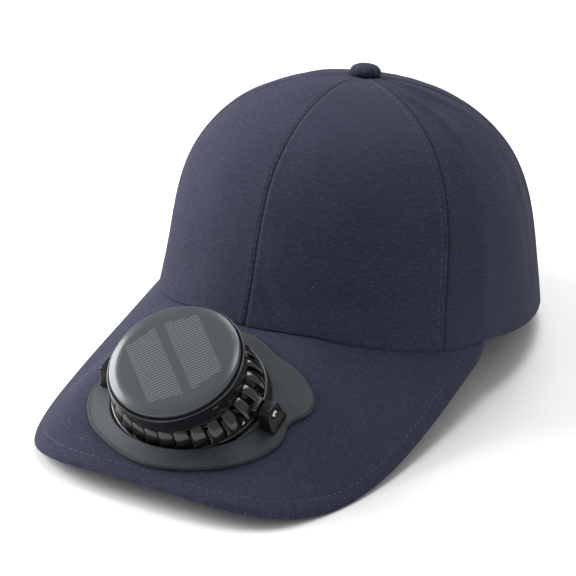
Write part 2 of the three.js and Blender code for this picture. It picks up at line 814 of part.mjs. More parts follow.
function grilleSolid() {
  const top = duct.bottom - clearance;
  const bottom = top - grille.height;
  const hoop = (outer) => roundRing([
    [outer, top],
    [outer, bottom],
    [outer - grille.bar, bottom],
    [outer - grille.bar, top],
  ], grille.sides);
  const hoops = Array.from({ length: grille.rings }, (_, i) =>
    hoop(mix(grille.hub, duct.radius, (i + 1) / grille.rings)));
  const spokes = Array.from({ length: grille.spokes }, (_, i) => {
    const length = duct.radius - grille.bar / 2 - grille.hub / 2;
    const bar = new THREE.BoxGeometry(length, grille.bar, grille.height * 0.9);
    bar.translate(grille.hub / 2 + length / 2, 0, (top + bottom) / 2);
    return closed(bar.rotateZ((i / grille.spokes) * 2 * Math.PI));
  });
  return joined(rod(grille.hub, bottom, top, smallSides), ...hoops, ...spokes);
}

function buttonSolid() {
  const sections = buttonSections.map((row) => [row.radius * button.radius, row.height * button.height]);
  return turned(sections, middleSides);
}

function named(name, geometry, look) {
  geometry.computeVertexNormals();
  const mesh = new THREE.Mesh(geometry, new THREE.MeshStandardMaterial(look));
  mesh.name = name;
  return mesh;
}

const panelNames = [
  'panel_front_left',
  'panel_side_left',
  'panel_back_left',
  'panel_back_right',
  'panel_side_right',
  'panel_front_right',
];

// Cap pieces in the hem plane's frame
const brimHole = ovalHoleCutter(
  plate.holeWidth + plate.brimHoleExtra,
  plate.holeDepth + plate.brimHoleExtra,
  brim.sideDrop,
);
brimHole.rotateX(plateSlope).translate(plateOrigin.x, plateOrigin.y, plateOrigin.z);
const panels = panelNames.map((_, i) => crownPanel(i));
const brimGeometry = cut(brimSolid(), brimHole);

// Resting pitch: the brim's front corners and the back of the hem reach the surface together
function lowest(geometries, pitch) {
  const sin = Math.sin(pitch);
  const cos = Math.cos(pitch);
  let low = Infinity;
  for (const geometry of geometries) {
    const { array } = geometry.attributes.position;
    for (let i = 0; i < array.length; i += 3) low = Math.min(low, array[i + 2] * cos - array[i + 1] * sin);
  }
  return low;
}

function restingPitch() {
  let low = 0;
  let high = 0.6;
  for (let i = 0; i < 40; i++) {
    const middle = (low + high) / 2;
    if (lowest([brimGeometry], middle) < lowest(panels, middle)) low = middle;
    else high = middle;
  }
  return (low + high) / 2;
}

const pitch = restingPitch();
const floorLevel = lowest([brimGeometry, ...panels], pitch) + pressed;

// Cloth is pressed flat where it rests
function pressFlat(geometry) {
  const { array } = geometry.attributes.position;
  const sin = Math.sin(pitch);
  const cos = Math.cos(pitch);
  for (let i = 0; i < array.length; i += 3) {
    const short = floorLevel - (array[i + 2] * cos - array[i + 1] * sin);
    if (short > 0) {
      array[i + 1] -= short * sin;
      array[i + 2] += short * cos;
    }
  }
  return geometry;
}

const cap = new THREE.Group();
panelNames.forEach((name, i) => cap.add(named(name, pressFlat(panels[i]), finish.cloth)));
cap.add(named('brim', pressFlat(brimGeometry), finish.cloth));
const buttonMesh = named('crown_button', buttonSolid(), finish.cloth);
buttonMesh.position.set(0, crown.topShift, crown.height + clearance);
cap.add(buttonMesh);

const plateGroup = new THREE.Group();
plateGroup.position.copy(plateOrigin);
plateGroup.rotation.x = plateSlope;
plateGroup.add(named('mount_plate', plateSolid(), finish.plate));
for (const [name, side] of [['left', 1], ['right', -1]]) {
  plateGroup.add(named(`lug_${name}`, lugSolid(side), finish.black));
  plateGroup.add(named(`pivot_screw_${name}`, screwSolid(side), finish.metal));
}

const head = new THREE.Group();
head.position.z = pivot.height;
head.rotation.x = pivot.tilt * RAD;
head.add(named('guard_ring', guardSolid(), finish.black));
head.add(named('fan_housing', housingSolid(), finish.black));
head.add(named('solar_lid', lidSolid(), finish.lid));
head.add(named('solar_cell_back', cellSolid(1), finish.cell));
head.add(named('solar_cell_front', cellSolid(-1), finish.cell));
head.add(named('motor', motorSolid(), finish.metal));
head.add(named('impeller', rotorSolid(), finish.black));
head.add(named('bottom_grille', grilleSolid(), finish.black));
plateGroup.add(head);
cap.add(plateGroup);

const group = new THREE.Group();
cap.rotation.x = -pitch;
group.add(cap);
group.updateMatrixWorld(true);
const box = new THREE.Box3().setFromObject(group, true);
cap.position.set(-(box.min.x + box.max.x) / 2, -(box.min.y + box.max.y) / 2, -box.min.z);
group.updateMatrixWorld(true);

export default group;
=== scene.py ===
"""Solar fan hat: the looks of a cloth cap with a tilting solar fan in its brim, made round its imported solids."""

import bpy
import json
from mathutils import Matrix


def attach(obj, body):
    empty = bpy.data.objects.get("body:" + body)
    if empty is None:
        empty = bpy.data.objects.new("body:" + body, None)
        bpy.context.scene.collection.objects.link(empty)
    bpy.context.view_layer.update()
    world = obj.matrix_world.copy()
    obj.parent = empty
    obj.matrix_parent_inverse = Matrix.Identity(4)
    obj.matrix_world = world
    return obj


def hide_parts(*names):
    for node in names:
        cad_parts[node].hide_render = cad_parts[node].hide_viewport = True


bl_info = {
    "name": "Solar fan hat",
    "version": (1, 0, 0),
    "blender": (4, 5, 0),
    "location": "3D View > Sidebar > Hat",
    "description": "Makes a cloth cap with a tilting solar fan round its packed solids",
    "category": "Object",
}

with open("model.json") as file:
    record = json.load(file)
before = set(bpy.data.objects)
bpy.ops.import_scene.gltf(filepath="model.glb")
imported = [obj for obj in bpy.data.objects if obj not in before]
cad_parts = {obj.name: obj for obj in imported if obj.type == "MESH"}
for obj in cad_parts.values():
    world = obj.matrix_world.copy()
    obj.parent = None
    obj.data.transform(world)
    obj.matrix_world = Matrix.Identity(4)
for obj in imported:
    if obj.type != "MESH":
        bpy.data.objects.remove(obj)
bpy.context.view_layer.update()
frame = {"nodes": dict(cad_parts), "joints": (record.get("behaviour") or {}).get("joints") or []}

import json
import math

import bmesh
import bpy
import numpy as np
from bpy.props import FloatProperty, FloatVectorProperty, IntProperty, PointerProperty
from mathutils import Matrix, Vector

MM = 0.001
FULL = 2 * math.pi
CLEARANCE = 0.3

# Lengths in millimetres, in the hem plane's frame, as in the solids
CROWN = {"half_width": 81.6, "front": 89.1, "back": 108.6, "height": 99.7, "top_shift": -1.6}
CROWN_WALL = {"wall": 1.5, "hem": 2.3, "hem_height": 13.0, "hem_blend": 0.6, "hem_ease": 0.35}
TOP_HOLE = 3.3
SEAM_OVERLAP = 0.03
PANELS = (
    "panel_front_left",
    "panel_side_left",
    "panel_back_left",
    "panel_back_right",
    "panel_side_right",
    "panel_front_right",
)
PANEL_SWEEP = FULL / len(PANELS)
# Share of the height, and shares of the reach at the front, side, back quarter and rear middle
CROWN_ROWS = np.array(
    [
        (0.0, 1.0, 1.0, 1.0, 1.0),
        (0.18, 0.966, 0.972, 0.945, 0.98),
        (0.36, 0.936, 0.952, 0.86, 0.935),
        (0.54, 0.894, 0.912, 0.758, 0.85),
        (0.7, 0.812, 0.826, 0.655, 0.73),
        (0.83, 0.678, 0.69, 0.525, 0.57),
        (0.93, 0.49, 0.485, 0.375, 0.39),
        (0.985, 0.3, 0.28, 0.2, 0.205),
        (1.0, 0.0, 0.0, 0.0, 0.0),
    ]
)
REAR_TURNS = (110.0, 165.0)
# Soft folds: turn from the front and share of the way up, their spreads, and depth in millimetres
FOLDS = (
    (88, 0.78, 9, 0.1, 1.5),
    (74, 0.16, 5, 0.12, -1.2),
    (112, 0.3, 8, 0.16, 1.4),
    (26, 0.1, 12, 0.05, 0.8),
    (-88, 0.78, 9, 0.1, 1.3),
    (-112, 0.3, 8, 0.16, 1.4),
    (-30, 0.12, 12, 0.06, 0.8),
    (165, 0.35, 12, 0.1, 1.6),
)
# Creases: turn and share up at both ends, half width and depth in millimetres
CREASES = (
    (64.5, 0.93, 69, 0.64, 2.0, 0.9),
    (68, 0.95, 76, 0.6, 2.5, -1.3),
    (78, 0.93, 87, 0.64, 2.4, 1.0),
    (91, 0.93, 103, 0.64, 3.0, -1.1),
    (110, 0.9, 122, 0.66, 4.0, 0.7),
    (70, 0.62, 73, 0.25, 6.0, -0.5),
    (98, 0.55, 104, 0.12, 6.0, 0.8),
    (-70, 0.95, -86, 0.7, 3.6, -0.8),
    (-98, 0.55, -104, 0.12, 6.0, 0.7),
    (3, 0.16, 10, 0.03, 2.6, 0.5),
    (150, 0.6, 158, 0.2, 7.0, 0.8),
    (-140, 0.5, -150, 0.15, 7.0, 0.7),
)
# Stitch rows: seam, counted from the front towards the wearer's left, side of it, and how far off in millimetres
STITCH_ROWS = (
    (0, 1, 0.9),
    (0, -1, 0.9),
    (1, -1, 3.2),
    (2, -1, 3.2),
    (3, 1, 3.2),
    (3, -1, 3.2),
    (4, 1, 3.2),
    (5, 1, 3.2),
)
BUTTON = {"radius": 6.8, "height": 5.2}

BRIM = {
    "length": 75.1,
    "half_width": 80.1,
    "squareness": 3.48,
    "setback": 57.4,
    "slope": 0.592,
    "rise": 4.8,
    "thickness": 3.2,
    "side_drop": 29.9,
    "corner_drop": 6.2,
    "front_ease": 0.31,
    "end": math.radians(74.9),
    "bed_flatness": 0.5,
    "bed_reach": 58.0,
    "bed_inner": 0.75,
    "bed_outer": 1.25,
}
PLATE = {"centre": 43.5, "reach": 45.0, "rise": 3.3, "hole_width": 34.2, "hole_depth": 30.2}
HOLE_EXTRA = 1.3
PLATE_OUTLINE = np.array(
    [
        (-90, 0.833),
        (-72, 0.836),
        (-55, 0.858),
        (-39, 0.918),
        (-20, 0.984),
        (-5, 0.996),
        (5, 0.972),
        (12, 1.06),
        (19, 1.108),
        (27, 1.086),
        (37, 1.018),
        (45, 0.95),
        (54, 0.885),
        (64, 0.87),
        (76, 0.882),
        (90, 0.878),
    ]
)
# Plate section: share of the way out from the hole, share of the rise
PLATE_SECTION = (
    (0.0, 0.2),
    (-0.03, 0.5),
    (-0.045, 0.82),
    (-0.035, 0.96),
    (0.0, 1.03),
    (0.05, 1.03),
    (0.15, 0.99),
    (0.45, 0.88),
    (0.65, 0.78),
    (0.8, 0.71),
    (0.88, 0.69),
    (0.93, 0.74),
    (0.965, 0.73),
    (0.99, 0.6),
    (1.0, 0.4),
    (0.995, 0.16),
    (0.97, 0.09),
    (0.5, 0.09),
    (0.02, 0.09),
)
PIVOT = {"height": 5.6, "tilt": math.radians(8), "pin": 1.0, "head": 1.7, "head_height": 0.8}
LUG = {"inside": 34.6, "thickness": 5.6, "top": 7.6, "base": 11.6, "above": 3.6, "flare": 1.4}
RING = {"width": 33.3, "depth": 29.3, "wall": 1.6, "top": 0.6, "bottom": -2.6}
DUCT = {"radius": 26.4, "wall": 1.5, "bottom": -7.4}
COLLAR = {"radius": 25.7, "wall": 2.0, "top": 9.6, "height": 1.2}
HOUSING = {"radius": 27.5, "height": 8.7, "lip": 28.2, "lip_height": 1.2, "wall": 1.7, "deck": 2.0}
LID = {"radius": 26.85, "height": 4.0, "edge": 1.3, "crown": 0.2}
CELL = {"gap": 3.3, "width": 14.3, "inside": 38.0, "outside": 31.0, "thickness": 0.6, "turn": math.radians(-43)}

GRILLE = {"height": 1.5, "bar": 1.5, "rings": 2, "spokes": 5, "hub": 5}
ROTOR = {"hub": 9, "height": 7.5, "top": 5, "radius": 23, "blades": 5, "rise": 7, "thickness": 1.1, "bore": 1.3}
# Blade stations: share of the way out, lean from flat and sweep in degrees
BLADE_STATIONS = np.array([(0, 48, 0), (0.35, 40, 4), (0.7, 33, 9), (1, 27, 15)], float)
MOTOR = {"height": 7.5, "shaft": 9}

# Pitch of the weave's threads, in metres
WEAVE = {"warp": 0.00085, "weft": 0.0006}
# Floor, in metres
FLOOR = {"half": 6.0, "height": -0.0006}

# Where the photograph was taken from, in the hem plane's frame
CAMERA = {
    "at": (427.017, -833.397, 268.404),
    "right": (0.86225, 0.49971, 0.08255),
    "back": (0.4623, -0.84308, 0.27476),
}

PLATE_TILT = math.atan(BRIM["slope"])


# Shared helpers: curves, places and meshes


def spline(at, values):
    """Natural cubic spline through the points, for arrays."""
    at, values = np.asarray(at, float), np.asarray(values, float)
    step = np.diff(at)
    count = len(at)
    system, right = np.eye(count), np.zeros(count)
    for i in range(1, count - 1):
        system[i, i - 1 : i + 2] = step[i - 1], 2 * (step[i - 1] + step[i]), step[i]
        right[i] = 6 * ((values[i + 1] - values[i]) / step[i] - (values[i] - values[i - 1]) / step[i - 1])
    bend = np.linalg.solve(system, right)

    def value(x):
        x = np.asarray(x, float)
        i = np.clip(np.searchsorted(at, x, side="right") - 1, 0, count - 2)
        b = (x - at[i]) / step[i]
        a = 1 - b
        curve = ((a**3 - a) * bend[i] + (b**3 - b) * bend[i + 1]) * step[i] ** 2 / 6
        return a * values[i] + b * values[i + 1] + curve

    return value


def smooth(x, low, high):
    """0 below low, 1 above high, and smooth between them, for arrays."""
    t = np.clip((x - low) / (high - low), 0, 1)
    return t * t * (3 - 2 * t)


def bell(distance, spread):
    """1 at no distance, falling off smoothly over the spread."""
    return np.exp(-((distance / spread) ** 2))


def stack(x, y, z):
    """Points from their three coordinates, whose shapes are matched."""
    return np.stack(np.broadcast_arrays(x, y, z), -1).astype(float)


class Place:
    """Takes points in millimetres from one of the hat's own frames to the row frame in metres."""

    def __init__(self, matrix):
        self.matrix = np.array(matrix, float)

    def __call__(self, points):
        return (np.asarray(points, float) @ self.matrix[:3, :3].T + self.matrix[:3, 3]) * MM

    def turn(self, vectors):
        return np.asarray(vectors, float) @ self.matrix[:3, :3].T

    def inner(self, offset, tilt):
        return Place(self.matrix @ np.array(Matrix.Translation(offset) @ Matrix.Rotation(tilt, 4, "X")))


def joint(name):
    return next(j for j in frame["joints"] if j["name"] == name)


def places():
    """Frames of the hem plane, the plate and the fan head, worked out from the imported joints."""
    axis = joint("impeller_spin")["axis"]
    pitch = PLATE_TILT + PIVOT["tilt"] - math.atan2(-axis[1], axis[2])
    plate_at = (
        0,
        -CROWN["front"] - PLATE["centre"] * math.cos(PLATE_TILT),
        BRIM["rise"] - PLATE["centre"] * math.sin(PLATE_TILT),
    )
    level = Place(Matrix.Rotation(-pitch, 4, "X"))
    loose_head = level.inner(plate_at, PLATE_TILT).inner((0, 0, PIVOT["height"]), PIVOT["tilt"])
    shift = np.array(joint("fan_tilt")["pos_m"]) / MM - loose_head.matrix[:3, 3]
    hem = Place(np.array(Matrix.Translation(shift)) @ level.matrix)
    plate = hem.inner(plate_at, PLATE_TILT)
    head = plate.inner((0, 0, PIVOT["height"]), PIVOT["tilt"])
    return hem, plate, head, np.array(plate_at)


HEM, PLATE_FRAME, HEAD, PLATE_AT = places()


def grid_faces(rows, columns, first=0, ringed=False):
    """Quads between the points of a grid, whose columns may close into a ring."""
    r = np.arange(rows - 1)[:, None]
    c = np.arange(columns if ringed else columns - 1)[None, :]
    following = (c + 1) % columns
    quads = np.stack(
        [r * columns + c, r * columns + following, (r + 1) * columns + following, (r + 1) * columns + c], -1
    )
    return (quads.reshape(-1, 4) + first).tolist()


def build(name, points, faces, material, uv=None, flat=False, seam=None):
    """Object with its place in its mesh, facing outwards. Points are in metres.

    seam is how near each point is to a seam or a row of stitches, from 0 to 1. The cotton is darkened by it as painted
    shade.
    """
    points = np.asarray(points, float).reshape(-1, 3)
    mesh = bpy.data.meshes.new(name)
    mesh.from_pydata(points.tolist(), [], faces)
    mesh.validate()
    if uv is not None:
        layer = mesh.uv_layers.new(name="cloth")
        index = np.zeros(len(mesh.loops), int)
        mesh.loops.foreach_get("vertex_index", index)
        layer.data.foreach_set("uv", np.asarray(uv, float).reshape(-1, 2)[index].ravel())
    if seam is not None:
        mesh.attributes.new("seam", "FLOAT", "POINT").data.foreach_set("value", np.ravel(seam))
    tidy = bmesh.new()
    tidy.from_mesh(mesh)
    bmesh.ops.remove_doubles(tidy, verts=tidy.verts, dist=1e-7)
    bmesh.ops.recalc_face_normals(tidy, faces=tidy.faces)
    if tidy.calc_volume(signed=True) < 0:
        bmesh.ops.reverse_faces(tidy, faces=tidy.faces)
    tidy.to_mesh(mesh)
    tidy.free()
    mesh.shade_flat() if flat else mesh.shade_smooth()
    mesh.materials.append(material)
    made = bpy.data.objects.new(name, mesh)
    bpy.context.scene.collection.objects.link(made)
    return made


def shell(outer, inner):
    """Points and faces of a closed wall between two grids of the same size."""
    rows, columns = outer.shape[:2]
    count = rows * columns
    faces = grid_faces(rows, columns) + grid_faces(rows, columns, count)
    edge = [c for c in range(columns)]
    edge += [r * columns + columns - 1 for r in range(1, rows)]
    edge += [(rows - 1) * columns + c for c in range(columns - 2, -1, -1)]
    edge += [r * columns for r in range(rows - 2, 0, -1)]
    for a, b in zip(edge, edge[1:] + edge[:1]):
        faces.append([a, b, b + count, a + count])
    return np.concatenate([outer.reshape(-1, 3), inner.reshape(-1, 3)]), faces


def around(count):
    """Angles evenly spaced round a full turn."""
    return np.arange(count) / count * FULL


def capped(loops, size):
    """Faces of a tube of loops with both its ends closed."""
    ends = [list(range(size)), list(range((loops - 1) * size, loops * size))]
    return grid_faces(loops, size, ringed=True) + ends


def box(xs, ys, zs):
    """Points and faces of a box between those limits."""
    faces = [[0, 1, 3, 2], [4, 6, 7, 5], [0, 4, 5, 1], [2, 3, 7, 6], [0, 2, 6, 4], [1, 5, 7, 3]]
    return np.array([(x, y, z) for x in xs for y in ys for z in zs], float), faces


def spun(points, angle, axis="Z"):
    """Points turned about an axis."""
    return points @ np.array(Matrix.Rotation(angle, 3, axis)).T


def ring_faces(loops, size):
    """Faces of a tube whose loops close on themselves, one loop after the other, in a ring."""
    faces = grid_faces(loops, size, ringed=True)
    last = (loops - 1) * size
    return faces + [[last + i, last + (i + 1) % size, (i + 1) % size, i] for i in range(size)]


def turned(profile, sides):
    """Points and faces of a solid of revolution about Z. A profile point on the axis is a single point."""
    points, rows = [], []
    for radius, height in profile:
        if radius == 0:
            rows.append([len(points)] * sides)
            points.append((0, 0, height))
        else:
            rows.append(list(range(len(points), len(points) + sides)))
            turn = around(sides)
            points += np.stack([radius * np.cos(turn), radius * np.sin(turn), np.full(sides, height)], -1).tolist()
    faces = []
    closed = profile[0][0] > 0
    pairs = list(zip(rows, rows[1:])) + ([(rows[-1], rows[0])] if closed else [])
    for low, high in pairs:
        for i in range(sides):
            k = (i + 1) % sides
            corners = [low[i], low[k], high[k], high[i]]
            faces.append([c for n, c in enumerate(corners) if c not in corners[:n]])
    return np.array(points), faces


def eased(profile, radius, steps=4):
    """Profile whose corners are rounded with arcs of up to that radius. Points on the axis stay sharp."""
    made = []
    count = len(profile)
    ring = profile[0][0] > 0
    for i, point in enumerate(profile):
        here = np.array(point, float)
        if not ring and i in (0, count - 1):
            made.append(tuple(here))
            continue
        before, after = np.array(profile[i - 1], float), np.array(profile[(i + 1) % count], float)
        to_before, to_after = before - here, after - here
        reach = min(radius, np.linalg.norm(to_before) / 2.2, np.linalg.norm(to_after) / 2.2)
        a = here + to_before / np.linalg.norm(to_before) * reach
        b = here + to_after / np.linalg.norm(to_after) * reach
        for t in np.linspace(0, 1, steps + 1):
            made.append(tuple((1 - t) ** 2 * a + 2 * t * (1 - t) * here + t * t * b))
    return made


def apply_modifiers(made):
    """The object with its modifiers worked into a plain mesh."""
    result = bpy.data.meshes.new_from_object(made.evaluated_get(bpy.context.evaluated_depsgraph_get()))
    old = made.data
    made.modifiers.clear()
    made.data = result
    bpy.data.meshes.remove(old)
    return made


def finish_piece(made, body, slot, *nodes):
    """Hangs a piece on the empty of the body that moves it, and hides the solids it replaces. The slot it is given is
    not used.
    """
    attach(made, body)
    if nodes:
        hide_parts(*nodes)
    return made


# Shader writing


class Wire:
    """A shader value. Arithmetic on it adds Math nodes."""

    def __init__(self, shader, socket):
        self.shader = shader
        self.socket = socket

    def math(self, operation, *others):
        values = dict(enumerate([self, *others]))
        return self.shader.node("ShaderNodeMath", {"operation": operation}, values)

    def flipped(self, operation, other):
        return self.shader.node("ShaderNodeMath", {"operation": operation}, {0: other, 1: self})

    def __add__(self, other):
        return self.math("ADD", other)

    def __sub__(self, other):
        return self.math("SUBTRACT", other)

    def __mul__(self, other):
        return self.math("MULTIPLY", other)

    def __truediv__(self, other):
        return self.math("DIVIDE", other)

    def __rsub__(self, other):
        return self.flipped("SUBTRACT", other)

    __radd__ = __add__
    __rmul__ = __mul__

    def between(self, low, high):
        """0 below low, 1 above high, and smooth between them."""
        ends = {"Value": self, "From Min": low, "From Max": high}
        return self.shader.node("ShaderNodeMapRange", {"interpolation_type": "SMOOTHSTEP"}, ends)


class Shader:
    """A node material that is written step by step."""

    def __init__(self, name):
        self.material = bpy.data.materials.new(name)
        self.material.use_nodes = True
        self.tree = self.material.node_tree
        self.tree.nodes.clear()

    def node(self, kind, settings=None, inputs=None, output=0):
        made = self.tree.nodes.new(kind)
        for key, value in (settings or {}).items():
            setattr(made, key, value)
        for key, value in (inputs or {}).items():
            if isinstance(value, Wire):
                self.tree.links.new(value.socket, made.inputs[key])
            else:
                made.inputs[key].default_value = value
        return Wire(self, made.outputs[output]) if made.outputs else None

    def place(self, uv=False, scale=(1, 1, 1), turn=(0, 0, 0)):
        if uv:
            point = self.node("ShaderNodeUVMap", {"uv_map": "cloth"})
        else:
            point = self.node("ShaderNodeTexCoord", output="Object")
        return self.node("ShaderNodeMapping", None, {"Vector": point, "Scale": scale, "Rotation": turn})

    def noise(self, vector, scale, detail=2.0, roughness=0.5):
        inputs = {"Vector": vector, "Scale": scale, "Detail": detail, "Roughness": roughness}
        return self.node("ShaderNodeTexNoise", None, inputs)

    def mix(self, factor, first, second):
        """Blend of two colours."""
        wide = [c if isinstance(c, Wire) else (*c, 1)[:4] for c in (first, second)]
        inputs = {0: factor, 6: wide[0], 7: wide[1]}
        return self.node("ShaderNodeMix", {"data_type": "RGBA"}, inputs, output=2)

    def bump(self, height, distance, strength):
        return self.node("ShaderNodeBump", None, {"Height": height, "Distance": distance, "Strength": strength})

    def surface(self, **inputs):
        """Ends the material in a principled shader. Sockets are named with underscores for spaces."""
        sockets = {}
        for key, value in inputs.items():
            colour = isinstance(value, tuple) and len(value) == 3
            sockets[key.replace("_", " ")] = (*value, 1) if colour else value
        shader = self.node("ShaderNodeBsdfPrincipled", None, sockets)
        self.node("ShaderNodeOutputMaterial", None, {"Surface": shader})
        return self.material


def cotton(name, colour, shade, uv=True):
    """Fine cotton twill: diagonal weave, slubs along the weft, a few pale fibres, and painted shade along the seams."""
    s = Shader(name)
    cloth = s.place(uv)
    parts = s.node("ShaderNodeSeparateXYZ", None, {"Vector": cloth})
    across = parts
    along = Wire(s, parts.socket.node.outputs["Y"])
    wobble = s.noise(cloth, 90.0, 2.0)
    warp = ((across + along * 0.5) * (FULL / WEAVE["warp"]) + wobble * 5.0).math("SINE")
    weft = (along * (FULL / WEAVE["weft"])).math("SINE")
    slub = s.noise(s.place(uv, scale=(190, 1400, 1), turn=(0, 0, 0.18)), 1.0, 2.5, 0.6)
    grain = s.noise(cloth, 1900.0, 1.5, 0.6)
    patch = s.noise(s.place(False), 22.0, 3.0)
    tone = slub * 0.5 + grain * 0.5 + (patch - 0.5) * 0.35
    base = s.mix(tone.between(0.34, 0.66), shade, colour)
    fleck = s.noise(s.place(uv, scale=(500, 1500, 1), turn=(0, 0, 0.3)), 1.0, 1.0, 0.5)
    base = s.mix(fleck.between(0.58, 0.76) * 0.6, base, tuple(c * 2.0 for c in colour))
    cells = {"Vector": s.place(False), "Scale": 150.0}
    specks = s.node("ShaderNodeTexVoronoi", None, cells, output="Distance")
    rare = s.node("ShaderNodeTexVoronoi", None, cells, output="Color")
    chosen = s.node("ShaderNodeSeparateColor", None, {"Color": rare}).between(0.86, 0.9)
    lint = (1 - specks.between(0.03, 0.06)) * chosen
    base = s.mix(lint * 0.5, base, (0.35, 0.36, 0.42))
    # Painted shade: the cloth darkens along the seams by the seam attribute, standing in for the shadow in the seam's
    # fold.
    seam = s.node("ShaderNodeAttribute", {"attribute_name": "seam"}, output="Fac")
    base = s.mix(seam * 0.5, base, tuple(c * 0.25 for c in shade))
    weave = warp * 0.5 + weft * 0.25 + slub * 1.6 + grain * 1.6
    return s.surface(
        Base_Color=base,
        Roughness=0.86 + grain * 0.1,
        Normal=s.bump(weave, 0.00012, 0.9),
        Specular_IOR_Level=0.16,
        Sheen_Weight=0.04,
        Sheen_Roughness=0.5,
        Sheen_Tint=(0.62, 0.66, 0.9),
    )


def thread(name, colour):
    """Twisted sewing thread."""
    s = Shader(name)
    spot = s.place()
    twist = s.noise(spot, 2600.0, 1.0)
    base = s.mix(twist, tuple(c * 0.7 for c in colour), colour)
    return s.surface(Base_Color=base, Roughness=0.7, Sheen_Weight=0.1, Normal=s.bump(twist, 0.0001, 0.6))


def soft_plastic(name, colour):
    """Matte elastomer with a fine skin and faint dust."""
    s = Shader(name)
    spot = s.place()
    skin = s.noise(spot, 2400.0, 2.0)
    cloud = s.noise(spot, 60.0, 3.0)
    dust = s.noise(spot, 700.0, 4.0, 0.7)
    pale = tuple(min(1.0, c * 1.7 + 0.008) for c in colour)
    base = s.mix(cloud.between(0.35, 0.7) * 0.7 + dust.between(0.52, 0.7) * 0.6, colour, pale)
    return s.surface(
        Base_Color=base,
        Roughness=0.55 + cloud * 0.2,
        Normal=s.bump(skin, 0.00008, 0.6),
        Specular_IOR_Level=0.36,
    )


def moulded(name, colour, roughness, grain=0.3, coat=0.0, shine=0.5):
    """Moulded hard plastic with slight waves, fine scratches and specks of dust."""
    s = Shader(name)
    spot = s.place()
    wave = s.noise(spot, 140.0, 2.0)
    fine = s.noise(spot, 3000.0, 2.0)
    wear = s.noise(s.place(scale=(1, 6, 1)), 380.0, 4.0, 0.7)
    pale = tuple(min(1.0, c * 1.6 + 0.004) for c in colour)
    base = s.mix(wear.between(0.55, 0.8) * 0.5, colour, pale)
    bumps = s.bump(wave + fine * 0.1, 0.0002, grain)
    return s.surface(
        Base_Color=base,
        Roughness=roughness + wear * 0.12,
        Normal=bumps,
        Specular_IOR_Level=shine,
        Coat_Weight=coat,
        Coat_Roughness=0.08,
    )


def metal(name, colour, roughness):
    """Brushed metal with a fine grain."""
    s = Shader(name)
    spot = s.place()
    grain = s.noise(s.place(scale=(1, 1, 9)), 900.0, 3.0)
    base = s.mix(s.noise(spot, 500.0, 3.0), tuple(c * 0.8 for c in colour), colour)
    bumps = s.bump(grain, 0.00005, 0.4)
    return s.surface(Base_Color=base, Metallic=1.0, Roughness=roughness + grain * 0.2, Normal=bumps)


MATERIALS = {}


def material(name):
    """One of the hat's finishes, made the first time it is asked for."""
    if name not in MATERIALS:
        look = bpy.context.scene.hat_cloth
        fan = bpy.context.scene.hat_fan
        makers = {
            "navy cotton": lambda: cotton("navy cotton", tuple(look.colour), tuple(c * 0.6 for c in look.colour)),
            "navy thread": lambda: thread("navy thread", tuple(c * 1.5 for c in look.colour)),
            "soft plate": lambda: soft_plastic("soft plate", tuple(fan.plate_colour)),
            "black plastic": lambda: moulded("black plastic", (0.006, 0.0065, 0.008), 0.14, 0.25, 0.4),
            "satin black": lambda: moulded("satin black", (0.004, 0.0045, 0.005), 0.2, 0.3, shine=0.22),
            "smoked lid": lambda: moulded("smoked lid", tuple(fan.lid_colour), 0.17, 0.08, 0.15),
            "cell glass": lambda: moulded("cell glass", tuple(c * 1.1 for c in fan.lid_colour), 0.19, 0.08, 0.15),
            "cell line": lambda: moulded("cell line", (0.15, 0.158, 0.167), 0.35, 0.1),
            "steel": lambda: metal("steel", (0.7, 0.71, 0.74), 0.18),
        }
        MATERIALS[name] = makers[name]()
    return MATERIALS[name]


# Repeats on points, by geometry nodes


